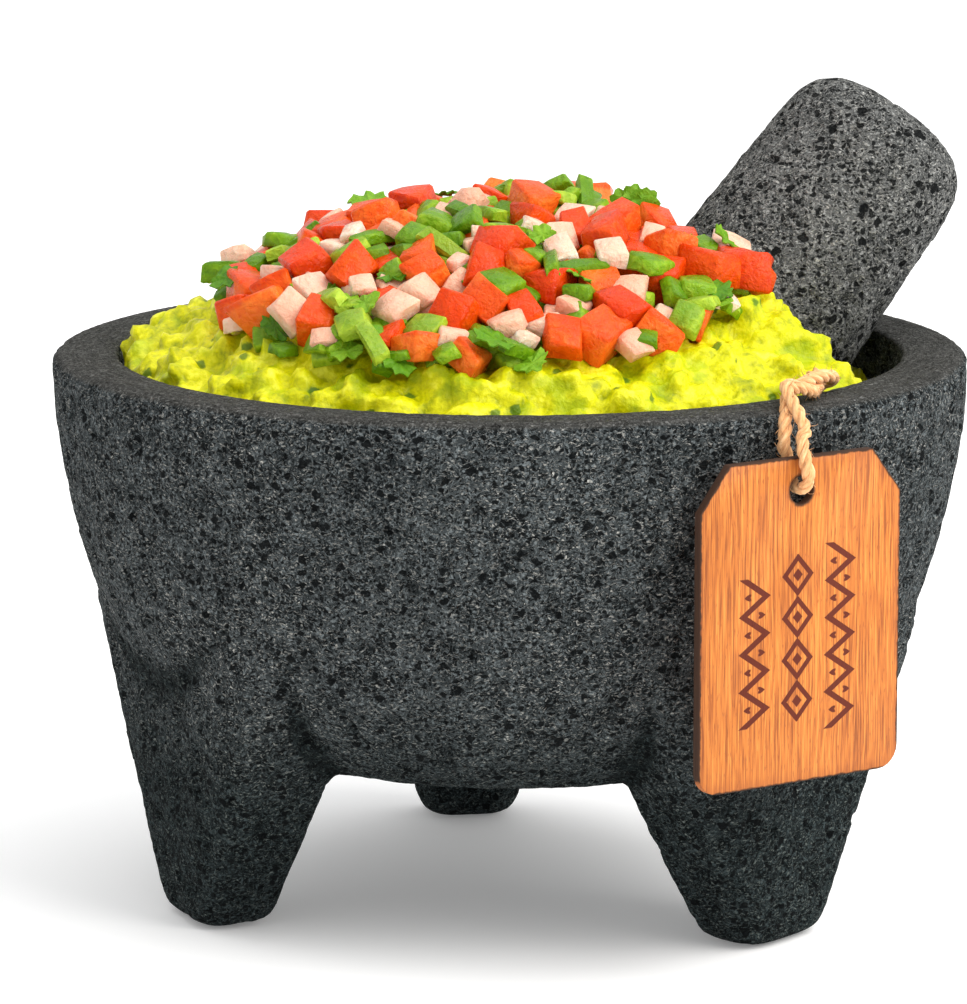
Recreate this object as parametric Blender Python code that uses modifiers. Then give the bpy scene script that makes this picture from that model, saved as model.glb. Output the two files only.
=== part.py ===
"""A three-legged volcanic-stone mortar with its pestle and a wooden hang tag on twine.

Metres, +Z up. The origin is on the floor, under the axis of the bowl. The front is -Y.
Run with: blender --background --python part.py
"""

import bmesh
import bpy
from math import cos, pi, radians, sin, sqrt
from mathutils import Vector
from mathutils.geometry import interpolate_bezier

# Bowl: driving dimensions
RIM_RADIUS = 0.1016              # outer radius of the rim, an 8 inch bowl
RIM_HEIGHT = 0.1238
RIM_WIDTH = 0.0148               # width of the flat rim top
RIM_EDGE = 0.002                 # rounding of the rim's two edges
BELLY_BOTTOM = 0.0337            # lowest point of the belly between the legs
BELLY_SPREAD = 5.09              # superellipse exponents of the outer wall
BELLY_DROP = 1.77
HOLLOW_FLOOR = 0.056
HOLLOW_SPREAD = 3.2              # superellipse exponents of the hollow
HOLLOW_DROP = 2.0
BOWL_STEPS = 72

# Legs: a square-ish section that widens upwards. Each pair is at the floor and at the reference height
LEG_OUTER = (0.0801, 0.0860)     # outer face, distance from the bowl's axis
LEG_INNER = (0.0625, 0.0458)     # inner face
LEG_REFERENCE_HEIGHT = 0.070
LEGS = {                         # azimuth, then half the width as such a pair: each is hand carved
    "left": (204.0, (0.0124, 0.0550)),
    "right": (321.0, (0.0124, 0.0505)),
    "back": (98.3, (0.0104, 0.0270)),
}
LEG_WIDEST_HEIGHT = 0.066        # above this the leg draws in, inside the wall
LEG_TOP = 0.084
LEG_SQUARENESS = 4.0
FOOT_ROUNDING = 0.005

# Tejolote: it leans outwards over the rim, narrow end up
LEAN = 39.0
LEAN_AZIMUTH = 20.45
TEJOLOTE_ABOVE_RIM = 0.0653      # along its axis, from the level of the rim
TEJOLOTE_BELOW_RIM = 0.0680
TEJOLOTE_RADIUS = 0.02532        # at the level of the rim
TEJOLOTE_TAPER = 0.05            # radius lost for each metre towards the narrow end
TEJOLOTE_OFFSET = 0.05388        # axis from the bowl's axis, at the level below
TEJOLOTE_LEVEL = 0.1218
NARROW_CAP, NARROW_CAP_POWER = 0.0191, 3.33
WIDE_CAP, WIDE_CAP_POWER = 0.0150, 2.2
TEJOLOTE_STEPS = 32

# Tag: it hangs outside the wall, square to the ray at its azimuth
TAG_AZIMUTH = -55.5
TAG_WIDTH = 0.0525
TAG_HEIGHT = 0.0696
TAG_THICKNESS = 0.0025
TAG_PLANE = 0.10665              # its middle plane, distance from the bowl's axis
TAG_CHAMFER = (0.0075, 0.0095)   # across and down, on the top corners
TAG_CORNER_RADIUS = 0.005
TAG_HOLE_RADIUS = 0.003
TAG_HOLE_HEIGHT = 0.1078
TAG_HOLE_FROM_TOP = 0.0070

# Twine: two strands over the rim, laid up as one cord, and one strand through the tag
STRAND_DIAMETER = 0.0028
DOUBLED_DIAMETER = 0.0044
GAP = 0.0007                      # between the doubled twine and the stone
TWINE_OUTER_AZIMUTH = -54.5      # where the twine crosses the rim's outer edge
TWINE_INNER_AZIMUTH = -40.0      # and its inner edge
TWINE_INNER_END = 0.1080         # height where the doubled twine meets its knot
OVER_RIM_START = 0.0020          # its outer end, back from the pivot to clear the strand when it is lifted
KNOT_HEIGHT = 0.1025
KNOT_RADIUS = 0.0034
HAIRPIN_RADIUS = 0.0033          # bend of the strand round the tag's top
HAIRPIN_LOW = 0.0002             # lowest point of the bend, above the hole's centre
PIVOT_TO_STRAND = 0.0043
TWINE_SAMPLES = 6                # points of the tube for each stretch between route points

STONE = ((0.055, 0.060, 0.062), 0.9)
PALE_STONE = ((0.135, 0.137, 0.132), 0.9)
WOOD = ((0.80, 0.32, 0.09), 0.6)
JUTE = ((0.68, 0.40, 0.20), 0.95)


def clear_scene():
    for old in list(bpy.data.objects):
        bpy.data.objects.remove(old, do_unlink=True)


def new_collection(name):
    collection = bpy.data.collections.new(name)
    bpy.context.scene.collection.children.link(collection)
    return collection


def make_material(name, finish):
    colour, roughness = finish
    material = bpy.data.materials.new(name)
    material.use_nodes = True
    shader = material.node_tree.nodes["Principled BSDF"]
    shader.inputs["Base Color"].default_value = (*colour, 1.0)
    shader.inputs["Roughness"].default_value = roughness
    shader.inputs["Metallic"].default_value = 0.0
    return material


def add_object(name, data, collection, material=None):
    piece = bpy.data.objects.new(name, data)
    collection.objects.link(piece)
    if material is not None:
        piece.data.materials.append(material)
    return piece


def hide_cutter(piece):
    piece.hide_render = True
    piece.display_type = "WIRE"


def polar(radius, azimuth, height):
    """A point from its distance to the bowl's axis, its azimuth in degrees and its height."""
    angle = radians(azimuth)
    return Vector((radius * cos(angle), radius * sin(angle), height))


def superellipse_quarter(radius, depth, spread, drop, top, count):
    """Points (radius, height) from the top of a wall down to the axis."""
    points = []
    for step in range(count + 1):
        angle = pi / 2 * step / count
        across = radius * cos(angle) ** (2 / spread) if step < count else 0.0
        points.append((across, top - depth * sin(angle) ** (2 / drop)))
    return points


def rounded_edge(centre_radius, centre_height, size, start, end, count=4):
    """Points on a small arc, with angles in degrees from +X."""
    arc = []
    for step in range(count + 1):
        angle = radians(start + (end - start) * step / count)
        arc.append((centre_radius + size * cos(angle), centre_height + size * sin(angle)))
    return arc


def turned(name, profile, collection, steps, material=None):
    """A closed body turned about Z from a profile that starts and ends on the axis."""
    mesh = bpy.data.meshes.new(name)
    vertices = [(radius, 0.0, height) for radius, height in profile]
    edges = [(index, index + 1) for index in range(len(vertices) - 1)]
    mesh.from_pydata(vertices, edges, [])
    piece = add_object(name, mesh, collection, material)
    screw = piece.modifiers.new("Turn", "SCREW")
    screw.axis = "Z"
    screw.steps = screw.render_steps = steps
    screw.use_merge_vertices = True
    screw.merge_threshold = 0.00001
    screw.use_smooth_shade = True
    return piece


def bowl_outer_profile():
    """Down the outside of the stone, from the middle of its top to the belly's lowest point."""
    edge = rounded_edge(RIM_RADIUS - RIM_EDGE, RIM_HEIGHT - RIM_EDGE, RIM_EDGE, 90, 0)
    wall = superellipse_quarter(RIM_RADIUS, RIM_HEIGHT - BELLY_BOTTOM, BELLY_SPREAD, BELLY_DROP, RIM_HEIGHT, 15)
    below_edge = [point for point in wall if point[1] < RIM_HEIGHT - 2 * RIM_EDGE]
    return [(0.0, RIM_HEIGHT)] + edge + below_edge


def hollow_profile():
    """Down the hollow's cutter, which stands proud of the rim and flares over its inner edge."""
    inner_radius = RIM_RADIUS - RIM_WIDTH
    proud = RIM_HEIGHT + 0.005
    edge = rounded_edge(inner_radius + RIM_EDGE, RIM_HEIGHT - RIM_EDGE, RIM_EDGE, 90, 180)
    wall = superellipse_quarter(inner_radius, RIM_HEIGHT - HOLLOW_FLOOR, HOLLOW_SPREAD, HOLLOW_DROP, RIM_HEIGHT, 13)
    below_edge = [point for point in wall if point[1] < RIM_HEIGHT - 1.5 * RIM_EDGE]
    return [(0.0, proud), (inner_radius + RIM_EDGE, proud)] + edge + below_edge


def leg_section(height, half_widths, count=20):
    """Local outline of a leg at one height: x is radial, y runs round the bowl."""
    reach = height / LEG_REFERENCE_HEIGHT
    outer = LEG_OUTER[0] + (LEG_OUTER[1] - LEG_OUTER[0]) * reach
    inner = LEG_INNER[0] + (LEG_INNER[1] - LEG_INNER[0]) * reach
    widening = min(height, LEG_WIDEST_HEIGHT) / LEG_REFERENCE_HEIGHT
    half_width = half_widths[0] + (half_widths[1] - half_widths[0]) * widening
    half_width -= 0.5 * max(0.0, height - LEG_WIDEST_HEIGHT)
    inset = 0.0
    if height < FOOT_ROUNDING:
        inset = FOOT_ROUNDING - sqrt(FOOT_ROUNDING ** 2 - (FOOT_ROUNDING - height) ** 2)
    points = []
    for step in range(count):
        angle = 2 * pi * step / count
        x_part = abs(cos(angle)) ** (2 / LEG_SQUARENESS) * (1 if cos(angle) > 0 else -1)
        y_part = abs(sin(angle)) ** (2 / LEG_SQUARENESS) * (1 if sin(angle) > 0 else -1)
        x = (outer + inner) / 2 + ((outer - inner) / 2 - inset) * x_part
        points.append(Vector((x, (half_width - inset) * y_part, height)))
    return points


def leg_shape(name, azimuth, half_widths, collection):
    """A leg as a loft between sections that widen upwards, to be joined to the bowl."""
    heights = [FOOT_ROUNDING * (1 - cos(pi / 2 * step / 3)) for step in range(4)]
    heights += [0.022, 0.040, LEG_WIDEST_HEIGHT, LEG_TOP]
    mesh_data = bmesh.new()
    rings = [[mesh_data.verts.new(point) for point in leg_section(height, half_widths)] for height in heights]
    count = len(rings[0])
    for low, high in zip(rings, rings[1:]):
        for index in range(count):
            after = (index + 1) % count
            mesh_data.faces.new((low[index], low[after], high[after], high[index]))
    mesh_data.faces.new(list(reversed(rings[0])))
    mesh_data.faces.new(rings[-1])
    mesh = bpy.data.meshes.new(name)
    mesh_data.to_mesh(mesh)
    mesh_data.free()
    leg = add_object(name, mesh, collection)
    leg.rotation_euler.z = radians(azimuth)
    hide_cutter(leg)
    return leg


def make_bowl(parts, cutters):
    """One carved block: a turned body, joined to three legs and hollowed out."""
    bowl = turned("bowl", bowl_outer_profile(), parts, BOWL_STEPS, make_material("stone", STONE))
    for name, (azimuth, half_widths) in LEGS.items():
        join = bowl.modifiers.new("Join " + name + " leg", "BOOLEAN")
        join.operation = "UNION"
        join.object = leg_shape(name + "_leg_shape", azimuth, half_widths, cutters)
    hollow = turned("hollow_shape", hollow_profile(), cutters, BOWL_STEPS)
    hide_cutter(hollow)
    carve = bowl.modifiers.new("Carve hollow", "BOOLEAN")
    carve.operation = "DIFFERENCE"
    carve.object = hollow


def capped_radius(distance, length, power):
    """Share of the full radius at a distance from a rounded end's base."""
    share = min(1.0, max(0.0, distance / length))
    return (1 - share ** power) ** (1 / power)


def tejolote_profile():
    """Down the pestle, from its narrow end to its wide end, with 0 at the level of the rim."""
    points = []
    for step in range(7):
        rise = NARROW_CAP * cos(pi / 2 * step / 6)
        along = TEJOLOTE_ABOVE_RIM - NARROW_CAP + rise
        radius = TEJOLOTE_RADIUS - TEJOLOTE_TAPER * along
        points.append((radius * capped_radius(rise, NARROW_CAP, NARROW_CAP_POWER), along))
    for step in range(7):
        drop = WIDE_CAP * sin(pi / 2 * step / 6)
        along = -TEJOLOTE_BELOW_RIM + WIDE_CAP - drop
        radius = TEJOLOTE_RADIUS - TEJOLOTE_TAPER * along
        points.append((radius * capped_radius(drop, WIDE_CAP, WIDE_CAP_POWER), along))
    return [(0.0, points[0][1])] + points[1:-1] + [(0.0, points[-1][1])]


def make_tejolote(parts):
    material = make_material("pestle_stone", PALE_STONE)
    pestle = turned("tejolote", tejolote_profile(), parts, TEJOLOTE_STEPS, material)
    pestle.location = polar(TEJOLOTE_OFFSET, LEAN_AZIMUTH, TEJOLOTE_LEVEL)
    pestle.rotation_euler = (0.0, radians(LEAN), radians(LEAN_AZIMUTH))


def tag_place(outwards, sideways, height):
    """A point in the tag's own directions: away from the bowl, to the right, and up."""
    out = polar(1.0, TAG_AZIMUTH, 0.0)
    side = Vector((-out.y, out.x, 0.0))
    return out * outwards + side * sideways + Vector((0.0, 0.0, height))


def tag_outline():
    """The tag's edge, seen from the front with 0 at the hole's centre."""
    half = TAG_WIDTH / 2
    top = TAG_HOLE_FROM_TOP
    bottom = top - TAG_HEIGHT
    across, down = TAG_CHAMFER
    points = [(-half, top - down), (-half + across, top), (half - across, top), (half, top - down)]
    low = bottom + TAG_CORNER_RADIUS
    points += rounded_edge(half - TAG_CORNER_RADIUS, low, TAG_CORNER_RADIUS, 0, -90, 6)
    points += rounded_edge(-half + TAG_CORNER_RADIUS, low, TAG_CORNER_RADIUS, -90, -180, 6)
    return list(reversed(points))


def flat_plate(name, outlines, thickness, collection, material):
    """A plate from closed outlines, the later ones being its holes, made a welded mesh."""
    curve = bpy.data.curves.new(name + "_outline", "CURVE")
    curve.dimensions = "2D"
    curve.fill_mode = "BOTH"
    curve.extrude = thickness / 2
    for outline in outlines:
        spline = curve.splines.new("POLY")
        spline.points.add(len(outline) - 1)
        for point, (x, y) in zip(spline.points, outline):
            point.co = (x, y, 0.0, 1.0)
        spline.use_cyclic_u = True
    source = add_object(name + "_outline", curve, collection)
    bpy.context.view_layer.update()
    evaluated = source.evaluated_get(bpy.context.evaluated_depsgraph_get())
    mesh = bpy.data.meshes.new_from_object(evaluated)
    bpy.data.objects.remove(source, do_unlink=True)
    welded = bmesh.new()
    welded.from_mesh(mesh)
    bmesh.ops.remove_doubles(welded, verts=welded.verts, dist=0.00001)
    bmesh.ops.recalc_face_normals(welded, faces=welded.faces)
    welded.to_mesh(mesh)
    welded.free()
    return add_object(name, mesh, collection, material)


def make_tag(parts):
    hole = [(TAG_HOLE_RADIUS * cos(2 * pi * step / 24), TAG_HOLE_RADIUS * sin(2 * pi * step / 24))
            for step in range(24)]
    material = make_material("tag_wood", WOOD)
    tag = flat_plate("tag", [tag_outline(), hole], TAG_THICKNESS, parts, material)
    tag.location = tag_place(TAG_PLANE, 0.0, TAG_HOLE_HEIGHT)
    tag.rotation_euler = (pi / 2, 0.0, radians(TAG_AZIMUTH) + pi / 2)


def smooth_route(points, samples):
    """A smooth curve through the route's own points, sampled evenly between them."""
    handles = []
    for index, point in enumerate(points):
        before = points[max(index - 1, 0)]
        after = points[min(index + 1, len(points) - 1)]
        handles.append((after - before) / 6)
    route = [points[0]]
    for index in range(len(points) - 1):
        start, end = points[index], points[index + 1]
        piece = interpolate_bezier(start, start + handles[index], end - handles[index + 1], end, samples + 1)
        route += piece[1:]
    return route


def cord_tube(name, route, diameter, collection, material):
    curve = bpy.data.curves.new(name, "CURVE")
    curve.dimensions = "3D"
    curve.bevel_depth = diameter / 2
    curve.bevel_resolution = 2
    curve.use_fill_caps = True
    spline = curve.splines.new("POLY")
    spline.points.add(len(route) - 1)
    for point, place in zip(spline.points, route):
        point.co = (*place, 1.0)
    return add_object(name, curve, collection, material)


def crossing_side():
    """How far to the right of the tag's hole the twine crosses the rim's outer edge."""
    return RIM_RADIUS * sin(radians(TWINE_OUTER_AZIMUTH - TAG_AZIMUTH))


def over_rim_route():
    """Across the rim top, round its inner edge and down the wall of the hollow."""
    lift = RIM_HEIGHT + GAP + DOUBLED_DIAMETER / 2
    turn = RIM_EDGE + GAP + DOUBLED_DIAMETER / 2
    inner_edge = RIM_RADIUS - RIM_WIDTH + RIM_EDGE
    azimuth = TWINE_INNER_AZIMUTH
    halfway = (TWINE_OUTER_AZIMUTH + azimuth) / 2
    slope = sin(radians(45))
    return [
        tag_place(RIM_RADIUS - RIM_EDGE - OVER_RIM_START, crossing_side(), lift),
        polar((RIM_RADIUS + inner_edge) / 2 - 0.001, halfway, lift),
        polar(inner_edge + 0.001, azimuth - 1.0, lift),
        polar(inner_edge - turn * slope, azimuth, RIM_HEIGHT - RIM_EDGE + turn * slope),
        polar(inner_edge - turn - 0.0002, azimuth + 0.5, RIM_HEIGHT - RIM_EDGE),
        polar(inner_edge - turn - 0.0010, azimuth + 1.0, 0.1145),
        polar(inner_edge - turn - 0.0020, azimuth + 1.0, TWINE_INNER_END),
    ]


def drop_route():
    """Down in front of the tag, back through its hole and up behind it."""
    side = crossing_side()
    reach = RIM_RADIUS - RIM_EDGE + PIVOT_TO_STRAND
    top = RIM_HEIGHT - RIM_EDGE - 0.0006
    beside = DOUBLED_DIAMETER / 2 - 0.0004
    bend_height = TAG_HOLE_HEIGHT + HAIRPIN_LOW + HAIRPIN_RADIUS
    tag_top = TAG_HOLE_HEIGHT + TAG_HOLE_FROM_TOP
    front, rear = TAG_PLANE + HAIRPIN_RADIUS, TAG_PLANE - HAIRPIN_RADIUS
    points = [
        tag_place(reach, side + beside, top),
        tag_place(reach + 0.0028, side * 0.8 + beside, tag_top + 0.0042),
        tag_place(front - 0.0004, side * 0.4 + beside / 2, tag_top + 0.0012),
        tag_place(front, side * 0.1, tag_top - 0.0020),
    ]
    for step in range(9):
        angle = pi * step / 8
        outwards = TAG_PLANE + HAIRPIN_RADIUS * cos(angle)
        points.append(tag_place(outwards, 0.0, bend_height - HAIRPIN_RADIUS * sin(angle)))
    points += [
        tag_place(rear, 0.0, tag_top - 0.0010),
        tag_place(rear + 0.0002, side * 0.3 - beside / 2, tag_top + 0.0028),
        tag_place(reach, side - beside, top),
    ]
    return points


def make_twine(parts):
    jute = make_material("jute", JUTE)
    over_rim = smooth_route(over_rim_route(), TWINE_SAMPLES)
    cord_tube("twine_over_rim", over_rim, DOUBLED_DIAMETER, parts, jute)
    cord_tube("twine_drop", smooth_route(drop_route(), 2), STRAND_DIAMETER, parts, jute)
    profile = [(KNOT_RADIUS * sin(pi * step / 10), KNOT_RADIUS * 1.2 * cos(pi * step / 10)) for step in range(11)]
    knot = turned("twine_knot", [(0.0, profile[0][1])] + profile[1:-1] + [(0.0, profile[-1][1])], parts, 16, jute)
    knot.location = polar(RIM_RADIUS - RIM_WIDTH - KNOT_RADIUS - 0.0036, TWINE_INNER_AZIMUTH + 1.0, KNOT_HEIGHT)


def main():
    clear_scene()
    parts = new_collection("molcajete")
    cutters = new_collection("cutters")
    make_bowl(parts, cutters)
    make_tejolote(parts)
    make_tag(parts)
    make_twine(parts)


main()
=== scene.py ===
"""A three-legged lava-stone mortar heaped with guacamole and fresh salsa, with its pestle and a wooden tag.

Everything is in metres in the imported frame: +Z up, the front is -Y, the floor is at 0 under the bowl's axis.
"""

import logging
import random
from dataclasses import dataclass
from enum import Enum
from math import cos, pi, radians, sin
from typing import Any, Callable, Mapping, Optional, Sequence, Union

import bpy
import numpy as np
from mathutils import Euler, Matrix, Vector
from mathutils.geometry import interpolate_bezier
from mathutils.kdtree import KDTree


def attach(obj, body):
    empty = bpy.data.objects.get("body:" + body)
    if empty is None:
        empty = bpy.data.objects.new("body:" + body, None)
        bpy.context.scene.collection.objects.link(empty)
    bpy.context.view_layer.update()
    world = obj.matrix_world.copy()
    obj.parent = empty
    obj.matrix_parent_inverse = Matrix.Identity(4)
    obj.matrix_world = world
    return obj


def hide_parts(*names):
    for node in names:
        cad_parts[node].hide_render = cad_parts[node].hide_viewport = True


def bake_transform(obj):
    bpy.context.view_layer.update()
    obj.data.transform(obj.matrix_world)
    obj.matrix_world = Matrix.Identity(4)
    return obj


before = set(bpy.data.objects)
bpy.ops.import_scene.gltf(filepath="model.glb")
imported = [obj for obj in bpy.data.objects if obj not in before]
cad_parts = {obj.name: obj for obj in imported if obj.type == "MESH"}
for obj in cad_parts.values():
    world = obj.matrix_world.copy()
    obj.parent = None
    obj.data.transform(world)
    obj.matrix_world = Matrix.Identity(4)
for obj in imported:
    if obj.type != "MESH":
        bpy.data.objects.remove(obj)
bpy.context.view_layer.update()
log = logging.getLogger("mortar")

Piece = bpy.types.Object
Material = bpy.types.Material
Link = bpy.types.NodeSocket
Pair = tuple[float, float]
Triple = tuple[float, float, float]
Colour = Triple
Stops = tuple[tuple[float, Colour], ...]
Route = Sequence[Vector]
Inputs = Mapping[Union[str, int], Any]
Term = Union["Value", float, int]

MILLIMETRES = 1000.0
RIM_RADIUS = 0.1016
RIM_HEIGHT = 0.1238
RIM_WIDTH = 0.0148
RIM_EDGE = 0.002
WEIGHT_STEPS = 20


class Body(Enum):
    """The moving bodies that a piece can ride on."""

    BOWL = "bowl"
    PESTLE = "tejolote"
    TWINE = "twine_drop"
    TAG = "tag"


class Slot(Enum):
    """The names of the material slots."""

    BOWL_STONE = "bowl_stone"
    PESTLE_STONE = "pestle_stone"
    TAG_WOOD = "tag_wood"
    JUTE = "jute"


# ---- shader maths


def math_method(operation: str, swapped: bool = False) -> Callable[..., "Value"]:
    """Makes the method that stands for one Math operation.

    Args:
        operation: The Math node's operation.
        swapped: Whether the terms change places, as in a reflected operator.

    Returns:
        The method, which adds one Math node on its terms and gives the node's number.
    """

    def method(*terms: Term) -> "Value":
        """Adds the Math node."""
        ordered = terms[::-1] if swapped else terms
        made = terms[0].sheet.node("ShaderNodeMath", {"operation": operation}, dict(enumerate(ordered)))
        return Value(terms[0].sheet, made.outputs[0])

    return method


class Value:
    """A number that varies over a surface: a shader socket that Python expressions work on."""

    def __init__(self, sheet: "NodeSheet", socket: Link) -> None:
        """Keeps the sheet and the socket that the number comes from."""
        self.sheet = sheet
        self.socket = socket

    __add__, __radd__ = math_method("ADD"), math_method("ADD", True)
    __sub__, __rsub__ = math_method("SUBTRACT"), math_method("SUBTRACT", True)
    __mul__, __rmul__ = math_method("MULTIPLY"), math_method("MULTIPLY", True)
    __pow__, __abs__, root = math_method("POWER"), math_method("ABSOLUTE"), math_method("SQRT")
    least, most, turn = math_method("MINIMUM"), math_method("MAXIMUM"), math_method("ARCTAN2")
    bounce = math_method("PINGPONG")

    def wave(self, period: float) -> "Value":
        """A triangle wave from 0 to half the period and back."""
        return self.bounce(period / 2)

    def rise(self, low: Term, high: Term) -> "Value":
        """A soft step that is 0 below low and 1 above high."""
        ends = {0: self, 1: low, 2: high, 3: 0.0, 4: 1.0}
        made = self.sheet.node("ShaderNodeMapRange", {"interpolation_type": "SMOOTHSTEP"}, ends)
        return Value(self.sheet, made.outputs[0])


class NodeSheet:
    """The nodes of one material, with a Principled surface ready for its links."""

    def __init__(self, name: str, **surface: Any) -> None:
        """Starts a material.

        Args:
            name: The finish's own name.
            surface: Constants of the surface, by socket name with _ for a space.
        """
        self.material = bpy.data.materials.new(name)
        self.material.use_nodes = True
        self.tree = self.material.node_tree
        self.surface = self.tree.nodes["Principled BSDF"]
        for key, constant in surface.items():
            self.socket(key).default_value = constant

    def socket(self, key: str) -> Link:
        """A socket of the surface, by its name with _ for a space."""
        return self.surface.inputs[key.replace("_", " ").title().replace("Ior", "IOR")]

    def node(
        self,
        kind: str,
        settings: Optional[Mapping[str, Any]] = None,
        inputs: Optional[Inputs] = None,
    ) -> bpy.types.Node:
        """Adds one node.

        Args:
            kind: The node's type.
            settings: Its settings, set first; "stops" are a ramp's places and colours.
            inputs: Values or links of its sockets, by name or number.

        Returns:
            The node.
        """
        made = self.tree.nodes.new(kind)
        for key, setting in (settings or {}).items():
            if key == "stops":
                elements = made.color_ramp.elements
                for element, (place, colour) in zip(elements, (setting[0], setting[-1])):
                    element.position, element.color = place, (*colour, 1.0)
                for place, colour in setting[1:-1]:
                    elements.new(place).color = (*colour, 1.0)
            else:
                setattr(made, key, setting)
        for key, item in (inputs or {}).items():
            socket = item.socket if isinstance(item, Value) else item
            if isinstance(socket, Link):
                self.tree.links.new(socket, made.inputs[key])
            else:
                made.inputs[key].default_value = socket
        return made

    def place(
        self, location: Sequence[float] = (0, 0, 0), turned: Sequence[float] = (0, 0, 0)
    ) -> Link:
        """The surface's own place in millimetres, in directions that a piece may set.

        Args:
            location: Where the pattern's zero is, in metres.
            turned: The pattern's turn, as Euler angles.

        Returns:
            The vector socket.
        """
        coordinates = self.node("ShaderNodeTexCoord").outputs["Object"]
        turn = {"Vector": coordinates, "Location": location, "Rotation": turned}
        settled = self.node("ShaderNodeMapping", {"vector_type": "TEXTURE"}, turn)
        return self.vector("SCALE", settled.outputs[0], {"Scale": MILLIMETRES})

    def vector(self, operation: str, first: Any, more: Inputs) -> Link:
        """One Vector Math node on a vector, with its other sockets by name or number."""
        return self.node("ShaderNodeVectorMath", {"operation": operation}, {0: first, **more}).outputs[0]

    def split(self, vector: Link) -> list[Value]:
        """A vector's three numbers."""
        parts = self.node("ShaderNodeSeparateXYZ", None, {0: vector}).outputs
        return [Value(self, part) for part in parts]

    def joined(self, x: Term, y: Term, z: Term) -> Link:
        """A vector from three numbers."""
        return self.node("ShaderNodeCombineXYZ", None, {0: x, 1: y, 2: z}).outputs[0]

    def clouds(self, vector: Any, size: float, detail: float = 2.0, roughness: float = 0.5) -> bpy.types.Node:
        """A noise node.

        Args:
            vector: Where it is read, in millimetres.
            size: The size of its features, in millimetres.
            detail: Finer layers on top.
            roughness: How strong they are.

        Returns:
            The node, with a number first and a colour second.
        """
        inputs = {"Vector": vector, "Scale": 1 / size, "Detail": detail, "Roughness": roughness}
        return self.node("ShaderNodeTexNoise", None, inputs)

    def cloud(self, vector: Any, size: float, detail: float = 2.0, roughness: float = 0.5) -> Value:
        """The number that clouds() gives, around 0.5."""
        return Value(self, self.clouds(vector, size, detail, roughness).outputs[0])

    def warped(self, vector: Any, size: float, amount: float) -> Link:
        """The place, pushed about by noise of one size by up to an amount, in millimetres."""
        push = self.vector("SUBTRACT", self.clouds(vector, size).outputs[1], {1: (0.5, 0.5, 0.5)})
        return self.vector("MULTIPLY_ADD", push, {1: (2 * amount,) * 3, 2: vector})

    def attribute(self, name: str) -> Value:
        """A number that the mesh carries."""
        return Value(self, self.node("ShaderNodeAttribute", {"attribute_name": name}).outputs["Fac"])

    def shaded(self, share: Term, colour: Any, shade: Colour) -> Link:
        """A colour, darkened by a shade as far as a share says."""
        return self.mix(share, colour, self.mix(1.0, colour, shade, "MULTIPLY"))

    def mix(self, share: Term, first: Any, second: Any, blend: str = "MIX") -> Link:
        """A colour between two.

        Args:
            share: How much of the second.
            first: A colour, or a link.
            second: The other.
            blend: The way they mix.

        Returns:
            The colour socket.
        """
        pair = [(*item, 1.0) if isinstance(item, tuple) else item for item in (first, second)]
        settings = {"data_type": "RGBA", "blend_type": blend}
        return self.node("ShaderNodeMix", settings, {0: share, 6: pair[0], 7: pair[1]}).outputs[2]

    def ramp(self, share: Term, stops: Stops) -> Link:
        """A colour looked up from stops."""
        return self.node("ShaderNodeValToRGB", {"stops": stops}, {0: share}).outputs[0]

    def finish(
        self, colour: Any, height: Optional[Value] = None, relief: float = 0.0, **links: Value
    ) -> Material:
        """Wires the surface.

        Args:
            colour: The base colour, as a link.
            height: A relief from 0 to 1.
            relief: How tall 1 is, in metres.
            links: Numbers for other sockets, by name with _ for a space.

        Returns:
            The material.
        """
        self.tree.links.new(colour, self.socket("Base Color"))
        if height is not None:
            bump = self.node("ShaderNodeBump", None, {"Height": height, "Strength": 1.0, "Distance": relief})
            self.tree.links.new(bump.outputs[0], self.socket("Normal"))
        for key, number in links.items():
            self.tree.links.new(number.socket, self.socket(key))
        return self.material


# ---- finishes


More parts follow.
